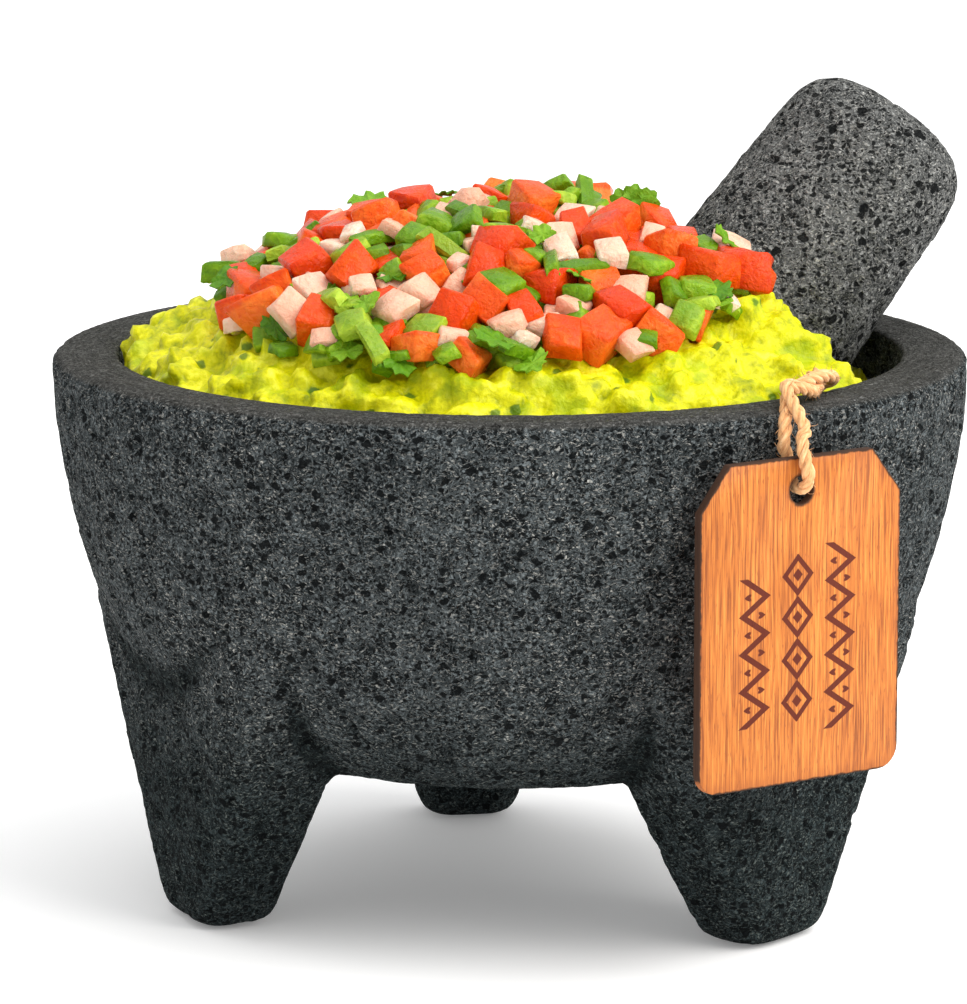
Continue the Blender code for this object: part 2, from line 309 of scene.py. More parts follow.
@dataclass(frozen=True)
class LavaStone:
    """Carved vesicular basalt: dark grain, pale flecks and open pores, with painted shade in the pores; where
    asked, a rubbed top that is lighter partly from wear and partly as a painted highlight, and painted shade
    towards the bottom and in the leg creases.
    """

    name: str
    dark: Colour
    pale: Colour
    fleck: Colour
    pore: float
    rubbed_and_painted_light: bool
    sizes: tuple[Triple, ...] = ((1.0, 0.08, 0.36), (0.5, 0.15, 0.34), (0.26, 0.16, 0.36))
    # The rubbed rim top, in millimetres: lighter partly from wear and partly as a painted highlight of the lit
    # top.
    rub: Pair = (122.3, 123.2)
    rub_depth: float = 0.8
    worn_and_highlight: Stops = ((0.34, (0.030, 0.028, 0.025)), (0.5, (0.088, 0.086, 0.078)), (0.68, (0.185, 0.18, 0.168)))
    # Painted shade: below this band, in millimetres, the colour darkens towards the underside shade colour.
    shadow_band: Pair = (26.0, 74.0)
    underside_painted_shade: Colour = (0.34, 0.40, 0.40)
    # Painted shade for the creases where the legs meet the belly.
    crease: Colour = (0.20, 0.25, 0.25)
    # Painted shade inside the pores and pits.
    pore_painted_shade: Colour = (0.0040, 0.0052, 0.0058)
    relief: float = 0.0021

    def pores(self, sheet: NodeSheet, place: Any, size: float, least: float, most: float) -> Value:
        """Round pores, one to a cell, most of them small.

        Args:
            sheet: The material's nodes.
            place: Where they are read, in millimetres.
            size: The size of a cell, in millimetres.
            least: The smallest radius, as a share of the cell.
            most: What the largest adds to it.

        Returns:
            1 inside a pore and 0 outside.
        """
        inputs = {"Vector": place, "Scale": 1 / size, "Randomness": 1.0}
        cell = sheet.node("ShaderNodeTexVoronoi", None, inputs)
        chance = sheet.split(cell.outputs["Color"])[0]
        radius = least + most * chance**2.2
        return 1 - (Value(sheet, cell.outputs["Distance"]) - radius).rise(-0.05, 0.045)

    def make(self) -> Material:
        """Builds the material."""
        sheet = NodeSheet(self.name, roughness=0.93, specular_ior_level=0.06)
        place = sheet.place()
        bent = sheet.warped(sheet.warped(place, 2.2, 0.95), 0.8, 0.42)
        loose = sheet.vector("MULTIPLY", bent, {1: (1.0, 1.0, 1.25)})
        coarse, middle, specks = [
            self.pores(sheet, loose, self.pore * size, least, most) for size, least, most in self.sizes
        ]
        grain = sheet.cloud(bent, 0.66, 3.0, 0.74).rise(0.42, 0.61)
        flow = sheet.vector("MULTIPLY", loose, {1: (0.6, 0.6, 1.5)})
        flakes = sheet.cloud(flow, 0.62, 2.0, 0.65).rise(0.56, 0.65)
        mottle = sheet.cloud(place, 5.5, 3.0, 0.65).rise(0.36, 0.64)
        broad = sheet.cloud(place, 38.0, 2.0).rise(0.3, 0.7)
        pit = sheet.attribute("pit")
        tone = grain * 0.74 + mottle * 0.26
        colour = sheet.mix(tone, self.dark, self.pale)
        colour = sheet.mix(flakes * (0.55 + broad * 0.45), colour, self.fleck)
        open_share = (coarse * 0.94).most(middle * 0.90).most(specks * 0.88)
        if self.rubbed_and_painted_light:
            x, y, height = sheet.split(place)
            rub = height.rise(*self.rub)
            reach = (x * x + y * y).root()
            strokes = sheet.cloud(sheet.joined(y.turn(x) * 16.0, reach * 1.5, height * 0.1), 1.0, 4.0, 0.66)
            # Partly wear and partly painted highlight: the rim top gets lighter rubbed strokes and fewer open
            # pores.
            worn_and_highlight = sheet.ramp(strokes * 0.6 + grain * 0.2 + 0.1, self.worn_and_highlight)
            colour = sheet.mix(rub * self.rub_depth, colour, worn_and_highlight)
            # Painted shade: the colour darkens towards the bottom of the bowl, below the shadow band.
            colour = sheet.shaded(1 - height.rise(*self.shadow_band), colour, self.underside_painted_shade)
            # Painted shade: darker in the creases where the legs meet the belly.
            colour = sheet.shaded(sheet.attribute("crease") * 0.85, colour, self.crease)
            open_share = open_share * (1 - rub * 0.86)
        # Painted shade: the shader's pores and the pushed-in pits are coloured near black, for the shade
        # inside them.
        colour = sheet.mix(open_share.most(pit.rise(0.3, 1.0) * 0.62), colour, self.pore_painted_shade)
        height_map = grain * 0.24 + flakes * 0.14 + mottle * 0.15
        height_map = height_map - coarse * 0.7 - middle * 0.4 - specks * 0.22 + 0.8
        return sheet.finish(colour, height_map, self.relief)


@dataclass(frozen=True)
class BurntWood:
    """Thin pale board with a laser-burnt edge and ornament, in the tag's own directions."""

    name: str
    location: Vector
    turned: Euler
    half_width: float
    top: float
    bottom: float
    chamfer: Pair
    hole: float
    right_band: Triple = (10.4, -12.0, -52.0)
    middle_band: Triple = (-0.8, -13.5, -49.5)
    left_band: Triple = (-12.0, -17.5, -49.5)
    grain: Stops = (
        (0.38, (0.26, 0.064, 0.007)),
        (0.45, (0.42, 0.113, 0.014)),
        (0.52, (0.52, 0.155, 0.020)),
        (0.62, (0.66, 0.230, 0.038)),
    )
    soft: float = 0.15
    vessel: Colour = (0.25, 0.05, 0.008)
    scorched: Colour = (0.26, 0.06, 0.010)
    burnt: Colour = (0.092, 0.0095, 0.002)
    charred: Colour = (0.022, 0.010, 0.005)

    def edge(self, u: Value, v: Value) -> Value:
        """How far a point is inside the outline, in millimetres."""
        across, down = self.chamfer
        long = (across**2 + down**2) ** 0.5
        slope = ((self.half_width - across) * down + self.top * across) / long
        corner = slope - (abs(u) * (down / long) + v * (across / long))
        return (self.half_width - abs(u)).least(self.top - v).least(v - self.bottom).least(corner)

    def band(self, u: Value, v: Value, band: Triple) -> tuple[Value, Value, float]:
        """One upright band of the ornament.

        Args:
            u: Across the tag, in millimetres.
            v: Up the tag, with 0 at the hole.
            band: The band's own middle, and its upper and lower ends.

        Returns:
            The distance from the band's middle, the place along it, and its length.
        """
        middle, first, last = band
        return u - middle, first - v, first - last

    def inside(self, along: Value, start: float, end: float, blur: float) -> Value:
        """1 between two places along a band, with a blurred end at each."""
        return along.rise(start - blur, start + blur) * (1 - along.rise(end - blur, end + blur))

    def zigzag(self, u: Value, v: Value, band: Triple) -> Value:
        """A zigzag line with a dot in every bend."""
        side, along, length = self.band(u, v, band)
        swing = along.wave(8.0) - 2.0
        line = abs(side - swing * 1.5) * 0.55
        near = (side + swing) ** 2 + ((along + 2.0).wave(4.0) - 2.0) ** 2
        stroke = 1 - line.rise(0.55, 0.70)
        dots = (1 - near.rise(0.35, 0.75)) * self.inside(along, 1.9, length - 1.9, 0.1)
        return stroke.most(dots) * self.inside(along, 0.0, length, self.soft)

    def diamonds(self, u: Value, v: Value, band: Triple) -> Value:
        """A chain of open diamonds, each with a filled heart."""
        side, along, length = self.band(u, v, band)
        step = (along + 4.5).wave(9.0)
        ring = abs(abs(side) + step * 0.9 - 3.4)
        heart = abs(side) * 1.1 + step
        shapes = (1 - ring.rise(0.62, 0.86)).most(1 - heart.rise(1.2, 1.6))
        return shapes * self.inside(along, 0.0, length, self.soft)

    def make(self) -> Material:
        """Builds the material."""
        sheet = NodeSheet(self.name, roughness=0.5, specular_ior_level=0.35)
        place = sheet.place(self.location, self.turned)
        u, v, _ = sheet.split(place)
        fibre = sheet.vector("MULTIPLY", sheet.warped(place, 30.0, 0.8), {1: (1.0, 0.024, 1.0)})
        streaks = sheet.cloud(fibre, 0.36, 2.0, 0.6)
        rings = sheet.cloud(fibre, 3.2, 2.0, 0.55)
        blotch = sheet.cloud(place, 16.0, 2.0)
        short = sheet.vector("MULTIPLY", place, {1: (1.0, 0.16, 1.0)})
        dashes = sheet.cloud(short, 0.34, 1.0).rise(0.63, 0.74)
        tone = streaks * 0.76 + rings * 0.14 + blotch * 0.10
        wood = sheet.mix(dashes * 0.55, sheet.ramp(tone, self.grain), self.vessel)
        wander = sheet.cloud(place, 1.6, 2.0) * 0.8
        rim = self.edge(u, v) + wander - 0.4
        hole = (u * u + v * v).root() - self.hole + wander - 0.4
        char = (1 - rim.rise(0.15, 0.62)).most(1 - hole.rise(0.1, 0.9))
        scorch = (1 - rim.rise(0.4, 3.2)) * 0.28
        art = self.zigzag(u, v, self.right_band).most(self.diamonds(u, v, self.middle_band))
        art = art.most(self.zigzag(u, v, self.left_band))
        wood = sheet.mix(scorch, wood, self.scorched)
        wood = sheet.mix(art * (0.9 + streaks * 0.15), wood, self.burnt)
        wood = sheet.mix(char * 0.95, wood, self.charred)
        height_map = streaks * 0.25 + rings * 0.15 - art * 0.5 - dashes * 0.2 + 0.7
        return sheet.finish(wood, height_map, 0.00022, Roughness=0.5 + art * 0.3 + char * 0.3)


@dataclass(frozen=True)
class JuteFibre:
    """Spun jute, with fibres that follow each ply by its own map."""

    name: str
    tones: Stops = ((0.28, (0.42, 0.19, 0.070)), (0.5, (0.80, 0.43, 0.19)), (0.72, (0.95, 0.65, 0.37)))

    def make(self) -> Material:
        """Builds the material."""
        sheen = {"sheen_weight": 0.12, "sheen_roughness": 0.5}
        sheet = NodeSheet(self.name, roughness=0.9, specular_ior_level=0.2, **sheen)
        along = sheet.node("ShaderNodeUVMap", {"uv_map": "Along"}).outputs[0]
        strands = sheet.vector("MULTIPLY", along, {1: (0.45, 7.0, 1.0)})
        lines = sheet.cloud(strands, 1.0, 3.0, 0.7)
        patches = sheet.cloud(along, 4.0, 2.0)
        return sheet.finish(sheet.ramp(lines * 0.75 + patches * 0.25, self.tones), lines, 0.0003)


@dataclass(frozen=True)
class MashedAvocado:
    """Wet mashed avocado, yellow-green with paler and greener lumps."""

    name: str
    tones: Stops = (
        (0.34, (0.27, 0.31, 0.001)),
        (0.45, (0.52, 0.52, 0.001)),
        (0.54, (0.68, 0.66, 0.003)),
        (0.65, (0.88, 0.86, 0.055)),
    )
    green: Colour = (0.27, 0.385, 0.002)
    herb: Colour = (0.035, 0.13, 0.010)

    def make(self) -> Material:
        """Builds the material."""
        sheet = NodeSheet(
            self.name,
            roughness=0.34,
            specular_ior_level=0.18,
            subsurface_weight=0.18,
            subsurface_radius=(0.6, 0.5, 0.08),
            subsurface_scale=0.004,
        )
        place = sheet.place()
        lumps = sheet.cloud(sheet.warped(place, 8.0, 3.0), 6.0, 3.0, 0.55)
        fine = sheet.cloud(place, 1.7, 3.0, 0.6)
        green = sheet.cloud(place, 9.0, 3.0).rise(0.50, 0.66)
        colour = sheet.mix(green * 0.6, sheet.ramp(lumps * 0.6 + fine * 0.4, self.tones), self.green)
        herbs = (1 - self.flecks(sheet, place).rise(0.12, 0.2)) * 0.8
        colour = sheet.mix(herbs, colour, self.herb)
        return sheet.finish(colour, lumps * 0.5 + fine * 0.4, 0.0012, Roughness=0.26 + fine * 0.25)

    def flecks(self, sheet: NodeSheet, place: Any) -> Value:
        """Distance to scattered bits of chopped herb."""
        inputs = {"Vector": sheet.warped(place, 2.0, 1.0), "Scale": 0.13}
        cell = sheet.node("ShaderNodeTexVoronoi", None, inputs)
        return Value(sheet, cell.outputs["Distance"])


@dataclass(frozen=True)
class ChoppedVegetable:
    """A diced vegetable whose skin, flesh and tint vary from piece to piece."""

    name: str
    deep: Colour
    flesh: Colour
    bright: Colour
    skin: Colour
    skin_share: float
    roughness: float
    soft: float

    def make(self) -> Material:
        """Builds the material."""
        sheet = NodeSheet(
            self.name,
            specular_ior_level=0.18,
            subsurface_weight=self.soft,
            subsurface_radius=(0.9, 0.45, 0.3),
            subsurface_scale=0.003,
        )
        place = sheet.place()
        tint = sheet.attribute("tint")
        layer = sheet.attribute("layer")
        veins = sheet.cloud(sheet.warped(place, 3.0, 1.2), 1.8, 3.0, 0.6)
        stops = ((0.20, self.deep), (0.5, self.flesh), (0.78, self.bright))
        colour = sheet.ramp(veins * 0.55 + tint * 0.45, stops)
        outer = layer.rise(0.78, 0.9) * self.skin_share
        colour = sheet.mix(outer, colour, self.skin)
        wet = sheet.cloud(place, 2.6, 1.0) * 0.3 + (self.roughness - 0.15)
        return sheet.finish(colour, veins, 0.0007, Roughness=wet - outer * 0.08)


@dataclass(frozen=True)
class StudioFloor:
    """A plain matt pale floor."""

    name: str
    shade: float
    glow: float = 0.16

    def make(self) -> Material:
        """Builds the material."""
        sheet = NodeSheet(
            self.name,
            roughness=0.75,
            specular_ior_level=0.2,
            emission_color=(1.0, 1.0, 1.0, 1.0),
            emission_strength=self.glow,
        )
        drift = sheet.cloud(sheet.place(), 300.0, 1.0)
        low, high = (self.shade - 0.01,) * 3, (self.shade + 0.01,) * 3
        return sheet.finish(sheet.mix(drift, low, high))


# ---- making pieces


def select_only(piece: Piece) -> None:
    """Makes one object the only one that operators act on."""
    bpy.ops.object.select_all(action="DESELECT")
    piece.select_set(True)
    bpy.context.view_layer.objects.active = piece


def linked(name: str, data: bpy.types.ID) -> Piece:
    """A new object in the scene, with the data that it is given."""
    made = bpy.data.objects.new(name, data)
    bpy.context.scene.collection.objects.link(made)
    return made


def discard(piece: Piece) -> None:
    """Removes an object that only helped to make another."""
    bpy.data.objects.remove(piece, do_unlink=True)


def apply_modifier(piece: Piece, kind: str, **settings: Any) -> None:
    """Adds a modifier, sets it up and applies it.

    Args:
        piece: The object that is shaped.
        kind: The modifier's type.
        settings: The modifier's own settings.
    """
    select_only(piece)
    bpy.ops.object.modifier_add(type=kind)
    modifier = piece.modifiers[-1]
    for key, setting in settings.items():
        setattr(modifier, key, setting)
    bpy.ops.object.modifier_apply(modifier=modifier.name)


def remesh(piece: Piece, voxel: float) -> None:
    """Makes a piece again from even faces of one size."""
    apply_modifier(piece, "REMESH", mode="VOXEL", voxel_size=voxel, adaptivity=0.0)


def bevel(piece: Piece, width: float, segments: int, sharper: float) -> None:
    """Bevels the edges that are sharper than an angle in degrees."""
    limit = {"limit_method": "ANGLE", "angle_limit": radians(sharper)}
    apply_modifier(piece, "BEVEL", width=width, segments=segments, **limit)


def edit(piece: Piece, *steps: Callable[[], Any], whole: bool = True) -> None:
    """Runs edit-mode operators on a piece.

    Args:
        piece: The object that is edited.
        steps: What is done, in order.
        whole: Whether all of it is selected first.
    """
    select_only(piece)
    bpy.ops.object.mode_set(mode="EDIT")
    bpy.ops.mesh.select_mode(type="VERT")
    bpy.ops.mesh.select_all(action="SELECT" if whole else "DESELECT")
    for step in steps:
        step()
    bpy.ops.object.mode_set(mode="OBJECT")


def select_edges(piece: Piece, wanted: Callable[[Vector, Vector], bool]) -> None:
    """Selects the edges whose two ends pass a test, with the piece in edit mode."""
    bpy.ops.mesh.select_mode(type="EDGE")
    bpy.ops.object.mode_set(mode="OBJECT")
    points = piece.data.vertices
    for edge in piece.data.edges:
        edge.select = wanted(points[edge.vertices[0]].co, points[edge.vertices[1]].co)
    bpy.ops.object.mode_set(mode="EDIT")


def primitive(kind: str, name: str, **settings: Any) -> Piece:
    """Adds a primitive with nothing else selected and names it."""
    bpy.ops.object.select_all(action="DESELECT")
    getattr(bpy.ops.mesh, f"primitive_{kind}_add")(**settings)
    piece = bpy.context.object
    piece.name = piece.data.name = name
    return piece


def settle(piece: Piece) -> None:
    """Puts a piece's place and turn into its mesh."""
    select_only(piece)
    bpy.ops.object.transform_apply(location=True, rotation=True, scale=True)


def join(pieces: Sequence[Piece]) -> Piece:
    """Joins objects into the first of them."""
    select_only(pieces[0])
    for piece in pieces[1:]:
        piece.select_set(True)
    bpy.ops.object.join()
    return pieces[0]


def points_of(piece: Piece, what: str = "co") -> np.ndarray:
    """The places, or with "normal" the normals, of a piece's vertices."""
    flat = np.empty(3 * len(piece.data.vertices))
    piece.data.vertices.foreach_get(what, flat)
    return flat.reshape(-1, 3)


def move_points(piece: Piece, places: np.ndarray) -> None:
    """Moves all of a piece's vertices."""
    piece.data.vertices.foreach_set("co", places.ravel())
    piece.data.update()


def carry(piece: Piece, name: str, numbers: np.ndarray) -> None:
    """Stores one number on each vertex, for the finish to read."""
    attribute = piece.data.attributes.new(name, "FLOAT", "POINT")
    attribute.data.foreach_set("value", numbers.astype(np.float32))


def weigh(piece: Piece, name: str, weights: np.ndarray) -> str:
    """Makes a vertex group from one weight per vertex, in twenty steps.

    Args:
        piece: The object that gets the group.
        name: The group's name.
        weights: The weights, from 0 to 1.

    Returns:
        The group's name.
    """
    group = piece.vertex_groups.new(name=name)
    steps = np.round(np.clip(weights, 0, 1) * WEIGHT_STEPS).astype(int)
    for step in range(1, WEIGHT_STEPS + 1):
        members = np.flatnonzero(steps == step).tolist()
        if members:
            group.add(members, step / WEIGHT_STEPS, "REPLACE")
    return name


def rough(
    piece: Piece, group: str, size: float, amount: float, middle: float, depth: int = 2, kind: str = "CLOUDS"
) -> None:
    """Displaces a piece by clouds or by round cells.

    Args:
        piece: The object that is shaped.
        group: The vertex group that it acts on.
        size: The size of the clouds, in metres.
        amount: How far they move the surface, in metres.
        middle: The tone that stays where it is.
        depth: Finer layers on top of clouds.
        kind: CLOUDS, or VORONOI for cells.
    """
    texture = bpy.data.textures.new(f"{piece.name}_relief", kind)
    texture.noise_scale = size
    if kind == "CLOUDS":
        texture.noise_depth = depth
    settings = {"texture": texture, "texture_coords": "LOCAL", "strength": amount, "mid_level": middle}
    apply_modifier(piece, "DISPLACE", **settings, vertex_group=group)
    bpy.data.textures.remove(texture)


def soft_step(low: float, high: float, numbers: np.ndarray) -> np.ndarray:
    """A soft step from 0 at low to 1 at high."""
    share = np.clip((numbers - low) / (high - low), 0, 1)
    return share * share * (3 - 2 * share)


def dress(piece: Piece, material: Material, body: Optional[Body] = None, smooth: float = 180.0) -> None:
    """Gives a finished piece its material, its shading and the body it rides on.

    Args:
        piece: The finished object.
        material: Its finish.
        body: The body it moves with, or none.
        smooth: The angle up to which its edges look round, in degrees.
    """
    piece.data.materials.clear()
    piece.data.materials.append(material)
    select_only(piece)
    if smooth >= 180.0:
        bpy.ops.object.shade_smooth()
    else:
        bpy.ops.object.shade_smooth_by_angle(angle=radians(smooth))
    piece.vertex_groups.clear()
    if body is not None:
        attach(piece, body.value)
    log.info("%s: %d faces", piece.name, len(piece.data.polygons))


def polar(radius: float, azimuth: float, height: float) -> Vector:
    """A point from its distance to the bowl's axis, its azimuth in degrees and its height."""
    angle = radians(azimuth)
    return Vector((radius * cos(angle), radius * sin(angle), height))


# ---- stone


@dataclass
class CarvedStone:
    """A block of stone: the CAD form remeshed finely, left uneven by the chisel, and opened by pores."""

    node: str
    name: str
    body: Body
    slot: Slot
    finish: LavaStone
    voxel: float
    pits: int
    pit_radii: Pair
    seed: int
    wobble: float = 0.0009
    wobble_size: float = 0.026
    tooth: float = 0.0004
    tooth_size: float = 0.0022
    swell: float = 0.0014

    def block(self) -> Piece:
        """The CAD node's form, merged and remeshed into even faces."""
        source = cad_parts[self.node]
        piece = linked(self.name, source.data.copy())
        piece.data.name = self.name
        edit(piece, lambda: bpy.ops.mesh.remove_doubles(threshold=0.00001))
        remesh(piece, self.voxel)
        return piece

    def soften(self, piece: Piece) -> None:
        """Rounds the form where the carver did; a plain block needs little."""
        apply_modifier(piece, "SMOOTH", factor=0.5, iterations=2)

    def free(self, places: np.ndarray) -> np.ndarray:
        """How freely each point may be cut, from 0 to 1."""
        return np.ones(len(places))

    def exposed(self, places: np.ndarray) -> np.ndarray:
        """How far each point stands out again before it is cut, from 0 to 1."""
        return self.free(places)

    def carve(self, piece: Piece) -> None:
        """Swells the surface a little and cuts it back unevenly, so that it keeps its size on the whole."""
        outer = weigh(piece, "exposed", self.exposed(points_of(piece)))
        apply_modifier(piece, "DISPLACE", strength=self.swell, mid_level=0.0, vertex_group=outer)
        group = weigh(piece, "carved", self.free(points_of(piece)))
        rough(piece, group, self.wobble_size, -self.wobble, 0.0)
        rough(piece, group, self.wobble_size / 4, -self.wobble * 0.45, 0.0)
        rough(piece, group, self.tooth_size, -self.tooth, 0.0, 1)

    def open_pores(self, piece: Piece) -> None:
        """Pushes seeded pits into the surface and marks how deep they are, for the painted shade in them."""
        places, normals = points_of(piece), points_of(piece, "normal")
        allowed = self.free(places)
        tree = KDTree(len(places))
        for index, place in enumerate(places):
            tree.insert(place, index)
        tree.balance()
        chooser = random.Random(self.seed)
        depth = np.zeros(len(places))
        least, most = self.pit_radii
        for _ in range(self.pits):
            centre = chooser.randrange(len(places))
            radius = least + (most - least) * chooser.random() ** 3
            deep = radius * chooser.uniform(0.35, 0.8) * allowed[centre]
            stretch = Vector(chooser.choices((0.75, 1.0, 1.35), k=3))
            for near, index, _ in tree.find_range(places[centre], radius * 1.35):
                away = (near - Vector(places[centre])) * stretch
                fall = 1 - (away.length / radius) ** 2
                if fall > 0:
                    depth[index] = max(depth[index], deep * fall)
        places -= normals * depth[:, None]
        places[:, 2] = np.maximum(places[:, 2], 0.0)
        move_points(piece, places)
        carry(piece, "pit", depth / (most * 0.8))

    def build(self) -> Piece:
        """Makes the finished stone in place of its CAD node."""
        piece = self.block()
        self.soften(piece)
        self.carve(piece)
        self.open_pores(piece)
        dress(piece, self.finish.make(), self.body)
        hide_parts(self.node)
        return piece


@dataclass
class Bowl(CarvedStone):
    """The bowl with its three legs, one block."""

    hollow_floor: float = 0.056
    hollow_spread: float = 3.2
    hollow_drop: float = 2.0
    twine_azimuth: float = -55.5
    wall_skin: float = 0.004
    fillet_foot: Pair = (0.024, 0.038)
    fillet_top: Pair = (0.060, 0.085)
    covered_below: float = 0.02
    covered_share: float = 0.74
    # Where the painted crease shade is marked: by how far smoothing fills a point, fading out above these
    # heights.
    crease_depth: Pair = (0.00002, 0.0008)
    crease_top: Pair = (0.100, 0.082)
    twine_shade: Pair = (0.005, 0.012)
    twine_low: Pair = (0.104, 0.098)
    rubbed_top: Pair = (0.1215, 0.1234)
    foot_height: float = 0.004

    def hollow_height(self, reach: np.ndarray) -> np.ndarray:
        """The height of the hollow's wall at a distance from its axis."""
        share = np.clip(reach / (RIM_RADIUS - RIM_WIDTH), 0, 1)
        drop = (1 - share**self.hollow_spread) ** (1 / self.hollow_drop)
        return RIM_HEIGHT - (RIM_HEIGHT - self.hollow_floor) * drop

    def within(self, places: np.ndarray, margin: float) -> np.ndarray:
        """Which points lie on the hollow's wall or inside it."""
        reach = np.hypot(places[:, 0], places[:, 1])
        return (reach < RIM_RADIUS - RIM_WIDTH + margin) & (places[:, 2] > self.hollow_height(reach) - margin)

    def soften(self, piece: Piece) -> None:
        """Rounds the edges, and fills the corners between the legs and the belly to a hand's fillet."""
        super().soften(piece)
        places = points_of(piece)
        band = soft_step(*self.fillet_foot, places[:, 2]) * (1 - soft_step(*self.fillet_top, places[:, 2]))
        band[self.within(places, self.wall_skin)] = 0.0
        apply_modifier(piece, "SMOOTH", factor=0.6, iterations=9, vertex_group=weigh(piece, "fillet", band))
        places = points_of(piece)
        inside = self.within(places, self.wall_skin / 2) & (places[:, 2] < RIM_HEIGHT - self.covered_below)
        group = weigh(piece, "covered", inside.astype(float))
        settings = {"vertex_group": group, "vertex_group_factor": 1000.0}
        apply_modifier(piece, "DECIMATE", ratio=self.covered_share, **settings)
        self.mark_crease_shade(piece)

    def mark_crease_shade(self, piece: Piece) -> None:
        """Marks where the legs meet the belly, from how far a heavy smoothing would fill each point, for the
        painted shade that darkens these creases.
        """
        places, normals = points_of(piece), points_of(piece, "normal")
        filled = linked("filled", piece.data.copy())
        apply_modifier(filled, "SMOOTH", factor=0.9, iterations=240)
        depth = ((points_of(filled) - places) * normals).sum(axis=1)
        discard(filled)
        crease = soft_step(*self.crease_depth, depth) * soft_step(*self.crease_top, places[:, 2])
        carry(piece, "crease", crease)

    def exposed(self, places: np.ndarray) -> np.ndarray:
        """Swells the outside only, and not behind the twine."""
        share = self.free(places)
        share[self.within(places, self.wall_skin)] = 0.0
        twine = polar(RIM_RADIUS, self.twine_azimuth, 0.0)
        away = np.hypot(places[:, 0] - twine.x, places[:, 1] - twine.y)
        low = soft_step(*self.twine_low, places[:, 2])
        return share * np.maximum(soft_step(*self.twine_shade, away), low)

    def free(self, places: np.ndarray) -> np.ndarray:
        """Cuts little on the rubbed rim top and under the feet."""
        height = places[:, 2]
        top, foot = soft_step(*self.rubbed_top, height), soft_step(0.0, self.foot_height, height)
        return (1 - 0.9 * top) * (0.3 + 0.7 * foot)


@dataclass
class Pestle(CarvedStone):
    """The tejolote, a tapered stone with rounded ends."""


# ---- tag and twine


@dataclass
class HangTag:
    """The wooden tag: a thin board with cut top corners, round bottom corners and a hole."""

    azimuth: float = -55.5
    width: float = 0.0525
    height: float = 0.0696
    thickness: float = 0.0021
    plane: float = 0.10665
    chamfer: Pair = (0.0075, 0.0095)
    corner: float = 0.005
    hole_radius: float = 0.003
    hole_height: float = 0.1078
    hole_from_top: float = 0.0070
    worn_edge: float = 0.00022

    def place(self, outwards: float, sideways: float, height: float) -> Vector:
        """A point in the tag's own directions: away from the bowl, to the right, and up."""
        out = polar(1.0, self.azimuth, 0.0)
        return out * outwards + Vector((-out.y, out.x, 0.0)) * sideways + Vector((0.0, 0.0, height))

    def turn(self) -> Euler:
        """The turn that stands the flat board up, square to the bowl."""
        return Euler((pi / 2, 0.0, radians(self.azimuth) + pi / 2))

    def board(self) -> Piece:
        """The board, flat on its back with 0 at the hole's centre."""
        half, top = self.width / 2, self.hole_from_top
        middle = (0.0, top - self.height / 2, 0.0)
        size = (self.width, self.height, self.thickness)
        piece = primitive("cube", "hang_tag", size=1.0, location=middle, scale=size)
        settle(piece)
        across, down = self.chamfer
        for side in (-1, 1):
            corner, outwards = (side * half, top - down, 0.0), Vector((side * down, across, 0.0)).normalized()
            cut = {"plane_co": corner, "plane_no": outwards, "use_fill": True, "clear_outer": True}
            edit(piece, lambda: bpy.ops.mesh.bisect(**cut, threshold=1e-6))
        low = top - self.height + 1e-5
        edit(
            piece,
            lambda: select_edges(piece, lambda a, b: a.y < low and b.y < low and abs(a.x - b.x) < 1e-5),
            lambda: bpy.ops.mesh.bevel(offset=self.corner, segments=6, affect="EDGES"),
            whole=False,
        )
        drill = primitive("cylinder", "tag_drill", vertices=32, radius=self.hole_radius, depth=0.01)
        apply_modifier(piece, "BOOLEAN", operation="DIFFERENCE", object=drill)
        discard(drill)
        bevel(piece, self.worn_edge, 2, 40)
        return piece

    def build(self) -> Piece:
        """Makes the finished tag in place of its CAD node."""
        piece = self.board()
        piece.location = self.place(self.plane, 0.0, self.hole_height)
        piece.rotation_euler = self.turn()
        settle(piece)
        finish = BurntWood(
            name="scorched_tag_wood",
            location=self.place(self.plane, 0.0, self.hole_height),
            turned=self.turn(),
            half_width=MILLIMETRES * self.width / 2,
            top=MILLIMETRES * self.hole_from_top,
            bottom=MILLIMETRES * (self.hole_from_top - self.height),
            chamfer=(MILLIMETRES * self.chamfer[0], MILLIMETRES * self.chamfer[1]),
            hole=MILLIMETRES * self.hole_radius,
        )
        dress(piece, finish.make(), Body.TAG, 40.0)
        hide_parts("tag")
        return piece


